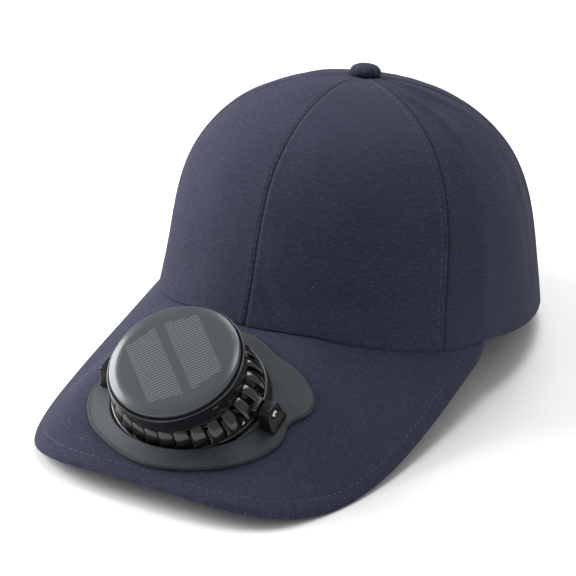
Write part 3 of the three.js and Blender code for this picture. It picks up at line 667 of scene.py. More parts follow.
def repeat_tree():
    """Node tree that puts one shape on every point, along and out as the points' attributes say."""
    tree = bpy.data.node_groups.new("repeat on points", "GeometryNodeTree")
    inputs = (
        ("Geometry", "NodeSocketGeometry", None),
        ("Shape", "NodeSocketObject", None),
        ("Finish", "NodeSocketMaterial", None),
        ("Length", "NodeSocketFloat", 1.0),
        ("Width", "NodeSocketFloat", 1.0),
        ("Height", "NodeSocketFloat", 1.0),
        ("Unevenness", "NodeSocketFloat", 0.0),
        ("Seed", "NodeSocketInt", 7),
    )
    for label, kind, value in inputs:
        made = tree.interface.new_socket(name=label, in_out="INPUT", socket_type=kind)
        if value is not None:
            made.default_value = value
    tree.interface.new_socket(name="Geometry", in_out="OUTPUT", socket_type="NodeSocketGeometry")

    def add(kind, settings=None, values=None):
        made = tree.nodes.new(kind)
        for key, value in (settings or {}).items():
            setattr(made, key, value)
        for key, value in (values or {}).items():
            if isinstance(value, bpy.types.NodeSocket):
                tree.links.new(value, made.inputs[key])
            else:
                made.inputs[key].default_value = value
        return made

    given = add("NodeGroupInput").outputs
    along = add("GeometryNodeInputNamedAttribute", {"data_type": "FLOAT_VECTOR"}, {"Name": "along"}).outputs[0]
    out = add("GeometryNodeInputNamedAttribute", {"data_type": "FLOAT_VECTOR"}, {"Name": "out"}).outputs[0]
    size = add("GeometryNodeInputNamedAttribute", {"data_type": "FLOAT_VECTOR"}, {"Name": "size"}).outputs[0]
    first = add("FunctionNodeAlignRotationToVector", {"axis": "X", "pivot_axis": "AUTO"}, {"Vector": along})
    second = add(
        "FunctionNodeAlignRotationToVector",
        {"axis": "Z", "pivot_axis": "X"},
        {"Rotation": first.outputs[0], "Vector": out},
    )
    whole = add("ShaderNodeCombineXYZ", None, {0: given["Length"], 1: given["Width"], 2: given["Height"]}).outputs[0]
    scaled = add("ShaderNodeVectorMath", {"operation": "MULTIPLY"}, {0: whole, 1: size}).outputs[0]
    chance = add("FunctionNodeRandomValue", {"data_type": "FLOAT"}, {"Seed": given["Seed"]})
    chance.inputs[2].default_value, chance.inputs[3].default_value = -1.0, 1.0
    amount = add("ShaderNodeMath", {"operation": "MULTIPLY"}, {0: chance.outputs[1], 1: given["Unevenness"]}).outputs[0]
    factor = add("ShaderNodeMath", {"operation": "ADD"}, {0: amount, 1: 1.0}).outputs[0]
    uneven = add("ShaderNodeVectorMath", {"operation": "SCALE"}, {0: scaled, "Scale": factor}).outputs[0]
    source = add("GeometryNodeObjectInfo", {"transform_space": "ORIGINAL"}, {"Object": given["Shape"]})
    shape = source.outputs["Geometry"]
    placed = add(
        "GeometryNodeInstanceOnPoints",
        None,
        {"Points": given["Geometry"], "Instance": shape, "Rotation": second.outputs[0], "Scale": uneven},
    )
    real = add("GeometryNodeRealizeInstances", None, {"Geometry": placed.outputs[0]})
    dressed = add("GeometryNodeSetMaterial", None, {"Geometry": real.outputs[0], "Material": given["Finish"]})
    add("NodeGroupOutput", None, {"Geometry": dressed.outputs[0]})
    return tree


def repeat(name, points, along, out, size, shape, finish, **inputs):
    """Plain mesh of one shape repeated on points in the row frame. The shape itself is removed."""
    tree = bpy.data.node_groups.get("repeat on points") or repeat_tree()
    mesh = bpy.data.meshes.new(name)
    mesh.from_pydata(np.asarray(points, float).reshape(-1, 3).tolist(), [], [])
    for label, values in (("along", along), ("out", out), ("size", size)):
        whole = np.broadcast_to(np.asarray(values, float), (len(mesh.vertices), 3))
        mesh.attributes.new(label, "FLOAT_VECTOR", "POINT").data.foreach_set("vector", whole.ravel())
    made = bpy.data.objects.new(name, mesh)
    bpy.context.scene.collection.objects.link(made)
    modifier = made.modifiers.new("repeat", "NODES")
    modifier.node_group = tree
    values = {"Shape": shape, "Finish": finish, **inputs}
    for item in tree.interface.items_tree:
        if item.in_out == "INPUT" and item.name in values:
            modifier[item.identifier] = values[item.name]
    apply_modifiers(made)
    made.data.shade_smooth()
    if not made.data.materials:
        made.data.materials.append(finish)
    bpy.data.objects.remove(shape)
    return made


def thread_shape():
    """One stitch: a short thread, one metre long and thick, that dips into the cloth at both ends."""
    half = ((0.5, 0.25, -0.35), (0.42, 0.75, -0.1), (0.2, 1.0, 0.1))
    stations = [(-x, r, z) for x, r, z in half] + list(half[::-1])
    sides = 6
    turn = around(sides)
    points = [(x, 0.5 * r * math.cos(t), 0.5 * r * math.sin(t) + z) for x, r, z in stations for t in turn]
    return build("stitch_shape", points, capped(len(stations), sides), material("navy thread"))


def stitch_pitch():
    """From one stitch to the next, in millimetres."""
    look = bpy.context.scene.hat_cloth
    return (look.stitch_length + look.stitch_gap) / MM


def sew(name, spots, along, out, unevenness, seed):
    """Rows of stitches at places in the hem plane's frame."""
    look = bpy.context.scene.hat_cloth
    spots, along, out = (np.concatenate(rows) for rows in (spots, along, out))
    made = repeat(
        name,
        HEM(spots),
        HEM.turn(along),
        HEM.turn(out),
        (1, 1, 1),
        thread_shape(),
        material("navy thread"),
        Length=look.stitch_length,
        Width=look.thread_width,
        Height=look.thread_width,
        Unevenness=unevenness,
        Seed=seed,
    )
    return finish_piece(made, "cap", "cloth")


# Surfaces of the cap, in the hem plane's frame


def arch(x, forward):
    """How far the brim's top curves down at a place, with a flatter bed under the plate."""
    across = x / BRIM["half_width"]
    along = forward / math.cos(PLATE_TILT) - PLATE["centre"]
    away = np.hypot(x, along) / BRIM["bed_reach"]
    flat = BRIM["bed_flatness"] * (1 - smooth(away, BRIM["bed_inner"], BRIM["bed_outer"]))
    drop = BRIM["side_drop"] * across**2 * (1 - BRIM["front_ease"] * forward / BRIM["length"])
    return (drop + BRIM["corner_drop"] * across**4) * (1 - flat)


def brim_top(x, y):
    """Height of the brim's top."""
    forward = -(y + CROWN["front"])
    return BRIM["rise"] - BRIM["slope"] * forward - arch(x, forward)


def hem_point(turn, depth=0.0):
    """Place on the oval hem, or inside it by a depth."""
    x, y = CROWN["half_width"] * np.sin(turn), -CROWN["front"] * np.cos(turn)
    nx, ny = x / CROWN["half_width"] ** 2, y / CROWN["front"] ** 2
    length = np.hypot(nx, ny)
    return x - nx / length * depth, y - ny / length * depth


def hem_height(turn, x, y, depth=0.0):
    """Height of the hem, which follows the brim in front and drops behind its ends."""
    past = np.maximum(np.abs(turn) - BRIM["end"], 0)
    end = brim_top(*hem_point(BRIM["end"], depth)) + CLEARANCE
    return np.where(past <= 0, brim_top(x, y) + CLEARANCE, end * bell(past, CROWN_WALL["hem_ease"]))


def crown_curves():
    rise = np.diff(CROWN_ROWS[:, 0]) * CROWN["height"]
    run = np.diff(CROWN_ROWS[:, 2]) * CROWN["half_width"]
    steps = np.hypot(rise, run)
    at = np.concatenate([[0], np.cumsum(steps)]) / steps.sum()
    return steps.sum(), [spline(at, CROWN_ROWS[:, i]) for i in range(5)]


PROFILE_LENGTH, CROWN_CURVES = crown_curves()


def crown_base(turn, up):
    """The crown's smooth form, without folds or seams."""
    height, front, side, back, rear = [curve(up) for curve in CROWN_CURVES]
    hem = hem_height(signed(turn), *hem_point(turn))
    ahead = np.cos(turn)
    rearward = smooth(np.degrees(np.arccos(np.clip(ahead, -1, 1))), *REAR_TURNS)
    reach = np.where(ahead > 0, CROWN["front"] * front, CROWN["back"] * (back + (rear - back) * rearward))
    x = CROWN["half_width"] * side * np.sin(turn)
    return stack(x, -reach * ahead + CROWN["top_shift"] * height, hem + (CROWN["height"] - hem) * height)


def signed(turn):
    """Turn from -180 to 180 degrees, in radians."""
    return np.where(turn > math.pi, turn - FULL, turn)


def crown_frame(turn, up):
    """Outward normal, upward direction and radius of the crown at each place."""
    step = 0.004
    across = crown_base(turn + step, up) - crown_base(turn - step, up)
    low, high = np.maximum(up - step, 0), np.minimum(up + step, 1)
    along = crown_base(turn, high) - crown_base(turn, low)
    radius = np.linalg.norm(across, axis=-1) / (2 * step)
    normal = np.cross(across, along)
    normal /= np.maximum(np.linalg.norm(normal, axis=-1, keepdims=True), 1e-9)
    along = along / np.maximum(np.linalg.norm(along, axis=-1, keepdims=True), 1e-9)
    return normal, along, radius


def fold_depth(turn, up):
    """Depth of the soft folds."""
    degrees = np.degrees(signed(turn))
    depth = np.zeros(np.broadcast(turn, up).shape)
    for at, height, spread, up_spread, deep in FOLDS:
        depth = depth + deep * bell(degrees - at, spread) * bell(up - height, up_spread)
    return depth


def crease_depth(turn, up, radius):
    """Depth of the creases, which run along short lines on the crown."""
    degrees = signed(turn)
    depth = np.zeros(np.broadcast(turn, up).shape)
    for turn_a, up_a, turn_b, up_b, half_width, deep in CREASES:
        middle = math.radians((turn_a + turn_b) / 2)
        across = (degrees - middle) * radius
        rise = (up - (up_a + up_b) / 2) * PROFILE_LENGTH
        run = math.radians(turn_b - turn_a) * radius
        climb = (up_b - up_a) * PROFILE_LENGTH
        length = np.hypot(run, climb)
        share = (across * run + rise * climb) / length**2
        aside = (across * climb - rise * run) / length
        depth = depth + deep * bell(aside, half_width) * bell(share, 0.55)
    return depth


WAVES = np.random.default_rng(23).uniform(0, 1, (26, 4))


def ripples(turn, up):
    """Small uneven waves of worn cotton, in millimetres."""
    total = np.zeros(np.broadcast(turn, up).shape)
    for a, b, c, d in WAVES:
        sideways, upward = round(3 + 22 * a), (b - 0.5) * 60
        total = total + np.sin(sideways * turn + upward * up + FULL * c) * (0.4 + 0.6 * d) / (1 + a * 2)
    return total * 0.05


def crown_surface(turn, up, depth, seam_distance, trench=0.0):
    """The crown at a depth, with its seams, stitch rows, folds and creases."""
    look = bpy.context.scene.hat_cloth
    normal, _, radius = crown_frame(turn, up)
    pinch = np.minimum(1, radius / 30)
    groove = look.seam_dip / MM * bell(seam_distance, 0.55) * pinch
    pucker = 0.07 * np.sin(up * PROFILE_LENGTH * FULL / 3.1) * bell(seam_distance, 1.3) * pinch
    ridge = -0.13 * bell(seam_distance - 1.9, 1.3) * pinch
    inside = groove + pucker + ridge + trench * look.stitch_dip / MM * pinch
    soft = fold_depth(turn, up) + crease_depth(turn, up, radius) + ripples(turn, up)
    return crown_base(turn, up) - normal * (depth + inside + soft)[..., None]


def edge_roll(distance, radius):
    """How far a surface turns in near an edge of that radius."""
    short = np.clip(radius - distance, 0, radius)
    return radius - np.sqrt(np.maximum(radius**2 - short**2, 0))


def press(points):
    """Points in the row frame, with the cloth flattened where it would pass the surface it rests on."""
    points[..., 2] = np.maximum(points[..., 2], 0.0)
    return points


def seam_distance_of(turn, start, sweep, radius):
    return np.minimum(turn - start, start + sweep - turn) * radius


def trenches(index, from_start, from_end, radius):
    """Share of a stitch row's dip at each place of a panel."""
    share = 0.0
    for seam, side, offset in STITCH_ROWS:
        if side > 0 and seam == index:
            share = share + bell(from_start * radius - offset, 0.5)
        if side < 0 and seam == (index + 1) % len(PANELS):
            share = share + bell(from_end * radius - offset, 0.5)
    return share


def make_panel(index, columns=62, rows=104):
    """One cloth panel, as a closed wall with its seams and its rolled hem."""
    sweep = PANEL_SWEEP
    start = index * sweep
    t = np.linspace(0, 1, columns)
    t = t - 0.78 * np.sin(FULL * t) / FULL
    rise = np.concatenate([np.array([0, 0.25, 0.6, 1.1, 1.7]) / PROFILE_LENGTH, np.linspace(0.017, 1, rows)])
    up = (rise * (1 - TOP_HOLE / PROFILE_LENGTH))[:, None]
    _, _, radius = crown_frame(np.array([[start + sweep / 2]]), np.maximum(up, 0.004))
    overlap = SEAM_OVERLAP / np.maximum(radius, 1)
    turn = start - overlap + t[None, :] * (sweep + 2 * overlap)
    distance = np.abs(seam_distance_of(turn, start, sweep, radius))
    thin = smooth(up * PROFILE_LENGTH, CROWN_WALL["hem_height"] * CROWN_WALL["hem_blend"], CROWN_WALL["hem_height"])
    wall = CROWN_WALL["hem"] + (CROWN_WALL["wall"] - CROWN_WALL["hem"]) * thin
    roll = edge_roll(up * PROFILE_LENGTH, 1.15)
    outer = crown_surface(turn, up, roll, distance, trenches(index, turn - start, start + sweep - turn, radius))
    inner = crown_surface(turn, up, wall - roll, distance * 3 + 1.5)
    outer[0, :, 2] = hem_height(signed(turn[0]), outer[0, :, 0], outer[0, :, 1])
    inner[0, :, 2] = hem_height(signed(turn[0]), inner[0, :, 0], inner[0, :, 1])
    points, faces = shell(outer, inner)
    across = (turn - start - sweep / 2) * np.maximum(radius, 1) * MM
    lengths = np.broadcast_to(up * PROFILE_LENGTH * MM, across.shape)
    uv = np.stack([across, lengths], -1).reshape(-1, 2)
    node = PANELS[index]
    # Nearness to the seams, which darkens the outer cloth as painted shade; the inside gets none.
    seam = bell(distance, 0.42)
    seam = np.concatenate([seam.ravel(), np.zeros(seam.size)])
    cloth = material("navy cotton")
    made = build("cloth_" + node, press(HEM(points)), faces, cloth, np.concatenate([uv, uv]), seam=seam)
    return finish_piece(made, "cap", "cloth", node)


def make_seam_stitches():
    spots, along, out = [], [], []
    count = int(PROFILE_LENGTH * 0.95 / stitch_pitch())
    up = (np.arange(count) + 0.5) / count * 0.93 + 0.012
    for index, side, offset in STITCH_ROWS:
        seam = np.full(count, index * PANEL_SWEEP)
        _, _, radius = crown_frame(seam, up)
        turn = (seam + side * offset / np.maximum(radius, 4)) % FULL
        normal, upward, _ = crown_frame(turn, up)
        spots.append(crown_surface(turn, up, -0.02, np.full(count, offset), 1.0))
        along.append(upward)
        out.append(normal)
    return sew("seam_stitches", spots, along, out, 0.12, 11)


def make_button():
    radius, height = BUTTON["radius"], BUTTON["height"]
    profile = [(0, 0), (0.8, 0), (0.93, 0.04), (0.99, 0.14), (1.0, 0.28), (0.985, 0.42), (0.94, 0.56)]
    profile += [(0.86, 0.69), (0.74, 0.81), (0.58, 0.9), (0.4, 0.96), (0.2, 0.99), (0, 1.0)]
    points, faces = turned([(r * radius, z * height) for r, z in profile], 72)
    turn = np.arctan2(points[:, 1], points[:, 0])
    share = np.hypot(points[:, 0], points[:, 1]) / radius
    low = bell(points[:, 2] / height, 0.45)
    points[:, :2] *= (1 + 0.012 * np.sin(turn * 11 + 0.7) * low * share)[:, None]
    points[:, 2] += 0.1 * np.sin(turn * 7 + 1) * share * (1 - low)
    points += (0, CROWN["top_shift"], CROWN["height"] + CLEARANCE)
    made = build("cloth_button", HEM(points), faces, material("navy cotton"), points[:, :2] * MM)
    return finish_piece(made, "cap", "cloth", "crown_button")


# Brim


def brim_outline(share):
    a = share * math.pi / 2
    power = 2 / BRIM["squareness"]
    x = BRIM["half_width"] * np.sign(np.sin(a)) * np.abs(np.sin(a)) ** power
    start, front = -CROWN["front"] + BRIM["setback"], -(CROWN["front"] + BRIM["length"])
    return x, start + (front - start) * np.abs(np.cos(a)) ** power


def even_outline(count):
    """Points of the brim's outline, evenly spaced, from the wearer's right to the left."""
    x, y = brim_outline(np.linspace(-1, 1, 4001))
    length = np.concatenate([[0], np.cumsum(np.hypot(np.diff(x), np.diff(y)))])
    at = np.linspace(0, length[-1], count)
    return np.interp(at, length, x), np.interp(at, length, y), length[-1]


def brim_columns(count=190, tips=14):
    """Inner and outer ends of the brim's columns, with short ones at both tips."""
    end = BRIM["end"]
    x, y, _ = even_outline(count)
    turn = np.clip(np.arctan2(x / CROWN["half_width"], -y / CROWN["front"]), -end, end)
    inner = np.stack(hem_point(turn, CROWN_WALL["hem"]), -1)
    outer = np.stack([x, y], -1)
    last_turn = math.atan2(x[-1] / CROWN["half_width"], -y[-1] / CROWN["front"])
    share = np.linspace(1, 0, tips + 1)[1:]
    tip_x, tip_y = hem_point(end)
    tip_inner = np.stack(hem_point(end + (last_turn - end) * share, CROWN_WALL["hem"]), -1)
    tip_outer = np.stack([tip_x + CLEARANCE + (x[-1] - tip_x - CLEARANCE) * share, tip_y + (y[-1] - tip_y) * share], -1)
    mirror = np.array([-1, 1])
    inner = np.concatenate([tip_inner[::-1] * mirror, inner, tip_inner])
    outer = np.concatenate([tip_outer[::-1] * mirror, outer, tip_outer])
    return inner, outer


def make_brim(rows=46):
    """The cloth brim, with its rounded edge, its stitched channel and the fan's hole."""
    look = bpy.context.scene.hat_cloth
    inner, outer = brim_columns()
    length = np.linalg.norm(outer - inner, axis=1)
    half = BRIM["thickness"] / 2
    arc = np.linspace(0, math.pi / 2, 7)
    from_edge = np.concatenate([np.linspace(1, 0, rows)[:-1] ** 1.15, [0]])
    top, bottom, uv = [], [], []
    for k in range(len(inner)):
        reach = max(length[k] - half, 0.05)
        inward = np.concatenate([from_edge[:-1] * reach + half, half - half * np.sin(arc)])
        inward = np.minimum(inward, length[k])
        share = 1 - inward / length[k]
        x = inner[k, 0] + (outer[k, 0] - inner[k, 0]) * share
        y = inner[k, 1] + (outer[k, 1] - inner[k, 1]) * share
        fall = half * (1 - np.cos(np.concatenate([np.zeros(rows - 1), arc])))
        stitch = look.brim_stitch_offset / MM
        trench = 0.3 * bell(inward - stitch, 0.6) - 0.12 * bell(inward - stitch - 1.4, 1.0)
        height = brim_top(x, y)
        wave = 0.1 * np.sin(x * 0.11 + y * 0.07) * np.sin(y * 0.09 - x * 0.03)
        hidden = smooth(share * length[k], 0.0, 6.0)
        top.append(np.stack([x, y, height - fall - (trench + wave) * hidden], -1))
        bottom.append(np.stack([x, y, height - BRIM["thickness"] + fall + trench * 0.6 * hidden], -1))
        uv.append(np.stack([x, y], -1))
    points, faces = shell(np.array(top), np.array(bottom))
    flat = np.array(uv).reshape(-1, 2) * MM
    made = build("cloth_brim", press(HEM(points)), faces, material("navy cotton"), np.concatenate([flat, flat]))
    cut_hole(made)
    return finish_piece(made, "cap", "cloth", "brim")


def cut_hole(made, sides=96, deep=30):
    """Cuts the fan's oval hole through the brim."""
    turn = around(sides)
    x = (PLATE["hole_width"] + HOLE_EXTRA) * np.cos(turn)
    y = (PLATE["hole_depth"] + HOLE_EXTRA) * np.sin(turn)
    loops = np.concatenate([stack(x, y, z) for z in (-deep, deep)])
    carve(made, loops, capped(2, sides), PLATE_FRAME, "navy cotton")


def make_brim_stitches():
    look = bpy.context.scene.hat_cloth
    _, _, whole = even_outline(10)
    count = int(whole / stitch_pitch())
    x, y, _ = even_outline(count * 2 + 1)
    end = BRIM["end"]
    turn = np.clip(np.arctan2(x / CROWN["half_width"], -y / CROWN["front"]), -end, end)
    ix, iy = hem_point(turn, CROWN_WALL["hem"])
    length = np.hypot(x - ix, y - iy)
    share = 1 - look.brim_stitch_offset / MM / length
    px, py = ix + (x - ix) * share, iy + (y - iy) * share
    spots, along, out = [], [], []
    for lift, side in ((-0.24, 1), (0.16 - BRIM["thickness"], -1)):
        line = stack(px, py, brim_top(px, py) + lift)
        step = 0.5
        slope_x = (brim_top(px + step, py) - brim_top(px - step, py)) / (2 * step)
        slope_y = (brim_top(px, py + step) - brim_top(px, py - step)) / (2 * step)
        normal = stack(-slope_x, -slope_y, 1.0) * side
        spots.append(line[1:-1:2])
        along.append(line[2::2] - line[:-2:2])
        out.append(normal[1:-1:2])
    return sew("brim_stitches", spots, along, out, 0.15, 5)


# Plate and pivots, in the plate's frame


def bed_height(x, back):
    """Height of the brim's top in the plate's frame."""
    height = np.zeros(np.broadcast(x, back).shape)
    for _ in range(4):
        y = PLATE_AT[1] + back * math.cos(PLATE_TILT) - height * math.sin(PLATE_TILT)
        height = -arch(x, -(y + CROWN["front"])) * math.cos(PLATE_TILT)
    return height


def make_plate(count=240):
    """The soft plate: an oval ring with two lobes that lies on the brim."""
    reach_at = spline(PLATE_OUTLINE[:, 0], PLATE_OUTLINE[:, 1])
    turn = around(count)
    across, back = np.cos(turn), np.sin(turn)
    outer = PLATE["reach"] * reach_at(np.degrees(np.arctan2(back, np.abs(across))))
    inner = 1 / np.hypot(across / PLATE["hole_width"], back / PLATE["hole_depth"])
    loops = []
    front, beside = smooth(-back, 0.1, 1.0), bell(back, 0.2)
    for share, rise in PLATE_SECTION:
        radius = inner + (outer - inner) * share
        x, y = radius * across, radius * back
        near = (1 - np.clip(share, 0, 1)) ** 1.5 * smooth(rise, 0.15, 0.6)
        lift = rise * (1 + near * (0.42 * front - 0.3 * beside))
        loops.append(stack(x, y, bed_height(x, y) + lift * PLATE["rise"]))
    points = np.array(loops)
    made = build("soft_mount_plate", PLATE_FRAME(points), ring_faces(len(loops), count), material("soft plate"))
    return finish_piece(made, "cap", "soft_plate", "mount_plate")


def bevelled(made, width, segments=3):
    modifier = made.modifiers.new("round", "BEVEL")
    modifier.width, modifier.segments, modifier.limit_method = width * MM, segments, "ANGLE"
    modifier.angle_limit = math.radians(25)
    apply_modifiers(made)
    made.data.shade_smooth()
    return made


def carve(made, points, faces, place, finish="satin black"):
    """Cuts a shape out of an object."""
    cutter = build("carver", place(points), faces, material(finish))
    modifier = made.modifiers.new("cut", "BOOLEAN")
    modifier.object, modifier.operation, modifier.solver = cutter, "DIFFERENCE", "MANIFOLD"
    apply_modifiers(made)
    bpy.data.objects.remove(cutter)


def cross_rod(radius, start, stop, height, sides=32):
    points, faces = turned([(0, start), (radius, start), (radius, stop), (0, stop)], sides)
    return points[:, [2, 0, 1]] + (0, 0, height), faces


def make_lug(side):
    name = "left" if side > 0 else "right"
    outside, top = LUG["inside"] + LUG["thickness"], PIVOT["height"] + LUG["above"]
    sections = []
    for x, flare in ((LUG["inside"], 0.0), (LUG["inside"] + LUG["thickness"] * 0.5, 0.0), (outside, LUG["flare"])):
        base_x = x + flare
        half_top, half_base = LUG["top"] / 2, LUG["base"] / 2
        foot = PLATE["rise"] * 0.86
        sections.append(
            [
                (base_x, -half_base, bed_height(base_x, -half_base) + foot),
                (x + flare * 0.25, -half_top - 1.0, PIVOT["height"] - 2.0),
                (x, -half_top, top),
                (x, half_top, top),
                (x + flare * 0.25, half_top + 1.0, PIVOT["height"] - 2.0),
                (base_x, half_base, bed_height(base_x, half_base) + foot),
            ]
        )
    points = np.array(sections, float).reshape(-1, 3) * (side, 1, 1)
    faces = capped(len(sections), len(sections[0]))
    made = build(f"pivot_lug_{name}", PLATE_FRAME(points), faces, material("satin black"), flat=True)
    bevelled(made, 0.9, 4)
    seat = cross_rod(PIVOT["head"] + CLEARANCE, outside - 1.3, outside + 6, PIVOT["height"])
    carve(made, seat[0] * (side, 1, 1), seat[1], PLATE_FRAME)
    bevelled(made, 0.22, 2)
    return finish_piece(made, "cap", "black_plastic", f"lug_{name}")


def make_screw(side):
    name = "left" if side > 0 else "right"
    outside = LUG["inside"] + LUG["thickness"]
    seat = outside - 1.0
    head, high = PIVOT["head"], PIVOT["head_height"] + 0.5
    start = RING["width"] - RING["wall"] + 0.4
    profile = [(0, start), (PIVOT["pin"], start), (PIVOT["pin"], seat), (head, seat), (head, seat + high * 0.6)]
    profile += [(head * 0.86, seat + high * 0.86), (head * 0.55, seat + high), (0, seat + high)]
    points, faces = turned(profile, 40)
    points = (points[:, [2, 0, 1]] + (0, 0, PIVOT["height"])) * (side, 1, 1)
    made = build(f"pivot_screw_head_{name}", PLATE_FRAME(points), faces, material("steel"))
    for turn in (0.5, 0.5 + math.pi / 2):
        slot, faces = box((-0.5, 0.5), (-1.15, 1.15), (-0.24, 0.24))
        slot = (spun(slot, turn, "X") + (seat + high, 0, PIVOT["height"])) * (side, 1, 1)
        carve(made, slot, faces, PLATE_FRAME)
    bevelled(made, 0.08, 2)
    return finish_piece(made, "cap", "metal", f"pivot_screw_{name}")


# Fan head, in its own frame


def oval_ring(section, count):
    turn = around(count)
    loops = [stack(w * np.cos(turn), d * np.sin(turn), h) for w, d, h in section]
    return np.array(loops), ring_faces(len(section), count)


def make_guard_ring():
    """The guard's oval rim, its upper collar and the two ears on the pivots."""
    w, d, wall = RING["width"], RING["depth"], RING["wall"]
    r, low = DUCT["radius"], DUCT["bottom"]
    half = [(w, RING["top"]), (w, RING["bottom"]), (r + 1.5, low + 2.2), (r, low), (r - DUCT["wall"], low)]
    half += [(w - wall, RING["bottom"] + 0.5), (w - wall, RING["top"])]
    section = []
    for x, z in eased(half, 0.5, 3):
        oval = smooth(z, low, RING["bottom"])
        section.append((x, x - (w - d) * oval, z))
    points, faces = oval_ring(section, 160)
    ring = build("guard_ring_rim", HEAD(points), faces, material("black plastic"))
    c, half_wall = COLLAR["radius"], COLLAR["wall"] / 2
    profile = [(c + half_wall, COLLAR["top"]), (c + half_wall, COLLAR["top"] - COLLAR["height"])]
    profile += [(c - half_wall, COLLAR["top"] - COLLAR["height"]), (c - half_wall, COLLAR["top"])]
    points, faces = turned(eased(profile, 0.35, 3), 128)
    collar = build("guard_collar", HEAD(points), faces, material("black plastic"))
    parts = [ring, collar]
    turn = np.linspace(math.pi, FULL, 13)
    outline = [(3.1 * math.cos(t), 3.1 * math.sin(t)) for t in turn]
    outline += [(3.5, 2.2), (3.3, 4.4), (-3.3, 4.4), (-3.5, 2.2)]
    x0, x1 = RING["width"] - RING["wall"] - 4.2, LUG["inside"] - CLEARANCE
    faces = capped(2, len(outline))
    for side in (1, -1):
        loops = [(x * side, y, z) for x in (x0, x1) for y, z in outline]
        boss = build(f"boss_{side}", HEAD(loops), faces, material("black plastic"), flat=True)
        parts.append(bevelled(boss, 0.7, 3))
    return join("guard_ring_body", parts, "guard_ring")


def join(name, parts, *nodes, body="fan_head", slot="black_plastic"):
    """One piece from several meshes that stay closed."""
    joined = bmesh.new()
    for part in parts:
        joined.from_mesh(part.data)
    mesh = bpy.data.meshes.new(name)
    joined.to_mesh(mesh)
    joined.free()
    mesh.shade_smooth()
    mesh.materials.append(parts[0].data.materials[0])
    for part in parts:
        bpy.data.objects.remove(part)
    made = bpy.data.objects.new(name, mesh)
    bpy.context.scene.collection.objects.link(made)
    return finish_piece(made, body, slot, *nodes)


def make_fins():
    """The guard's curved fins, one shape repeated round the ring."""
    fan = bpy.context.scene.hat_fan
    steps, start = 14, COLLAR["radius"]
    reach = RING["width"] - RING["wall"] / 2 - start
    slant = fan.fin_slant
    half = fan.fin_thickness / MM / 2
    foot, top = RING["top"] - 0.5, COLLAR["top"] - COLLAR["height"] / 2
    section = [(-0.2, 0.0), (0.35, 0.03), (0.85, 0.2), (1.0, 0.45), (0.9, 0.7), (0.5, 0.94), (0.0, 1.0)]
    section += [(-0.4, 0.95), (-0.2, 0.7), (-0.1, 0.45), (-0.25, 0.2), (-0.4, 0.04)]
    loops = []
    for angle in np.linspace(0, math.pi / 2, steps):
        radius, height = reach * math.sin(angle), foot + (top - foot) * math.cos(angle)
        outward = np.array([math.sin(angle), 0, math.cos(angle)])
        tangent = np.array([0, 1, 0])
        across = tangent * math.sin(slant) - outward * math.cos(slant)
        proud = outward * math.sin(slant) + tangent * math.cos(slant)
        wide = (FULL * (start + radius) / fan.fins - fan.fin_gap / MM) / math.sin(slant)
        loops.append([(radius, -wide / 2, height) + proud * a * 2 * half + across * b * wide for a, b in section])
    faces = capped(steps, len(section))
    shape = build("fin_shape", np.array(loops) * MM, faces, material("black plastic"))
    turn = (np.arange(fan.fins) + 0.5) / fan.fins * FULL
    radial = stack(np.cos(turn), np.sin(turn), 0.0)
    half_width, half_depth = RING["width"] - RING["wall"] / 2, RING["depth"] - RING["wall"] / 2
    edge = 1 / np.hypot(radial[:, 0] / half_width, radial[:, 1] / half_depth)
    made = repeat(
        "guard_fins",
        HEAD(radial * start),
        HEAD.turn(radial),
        HEAD.turn((0, 0, 1)),
        stack((edge - start) / reach, 1.0, 1.0),
        shape,
        material("black plastic"),
        Seed=1,
    )
    return finish_piece(made, "fan_head", "black_plastic")


HOUSING_LOW = COLLAR["top"] + CLEARANCE
HOUSING_TOP = HOUSING_LOW + HOUSING["height"]
DECK_TOP = HOUSING_TOP - HOUSING["lip_height"]
LID_LOW = DECK_TOP + CLEARANCE
LID_TOP = LID_LOW + LID["height"]


def make_housing():
    """The round housing under the lid, with its snap tabs."""
    r, lip, wall = HOUSING["radius"], HOUSING["lip"], HOUSING["wall"]
    inside = LID["radius"] + CLEARANCE
    profile = [(0, DECK_TOP), (inside, DECK_TOP), (inside, HOUSING_TOP), (lip, HOUSING_TOP)]
    profile += [(lip, DECK_TOP - 0.4), (r, DECK_TOP - 1.2), (r, HOUSING_LOW + 1.6), (r - 0.35, HOUSING_LOW + 1.3)]
    profile += [(r - 0.3, HOUSING_LOW), (r - wall, HOUSING_LOW), (r - wall, DECK_TOP - HOUSING["deck"])]
    profile += [(0, DECK_TOP - HOUSING["deck"])]
    points, faces = turned(eased(profile, 0.28, 3), 160)
    parts = [build("housing_shell", HEAD(points), faces, material("black plastic"))]
    for degrees in (28, 62, 152, 208, 332):
        angle = math.radians(degrees)
        points, faces = box((-0.5, 0.45), (-1.3, 1.3), (-1.1, 0.9))
        points = spun(points, angle) + (math.cos(angle) * lip, math.sin(angle) * lip, DECK_TOP - 1.6)
        tab = build(f"tab_{degrees}", HEAD(points), faces, material("black plastic"), flat=True)
        parts.append(bevelled(tab, 0.25, 2))
    return join("fan_housing_collar", parts, "fan_housing")


def lid_height(radius):
    """Height of the lid's domed top at a distance from its axis."""
    share = radius / LID["radius"]
    return LID_TOP - LID["crown"] * 2 * share**2 - LID["edge"] * 0.75 * smooth(share, 0.82, 1.08) ** 1.3


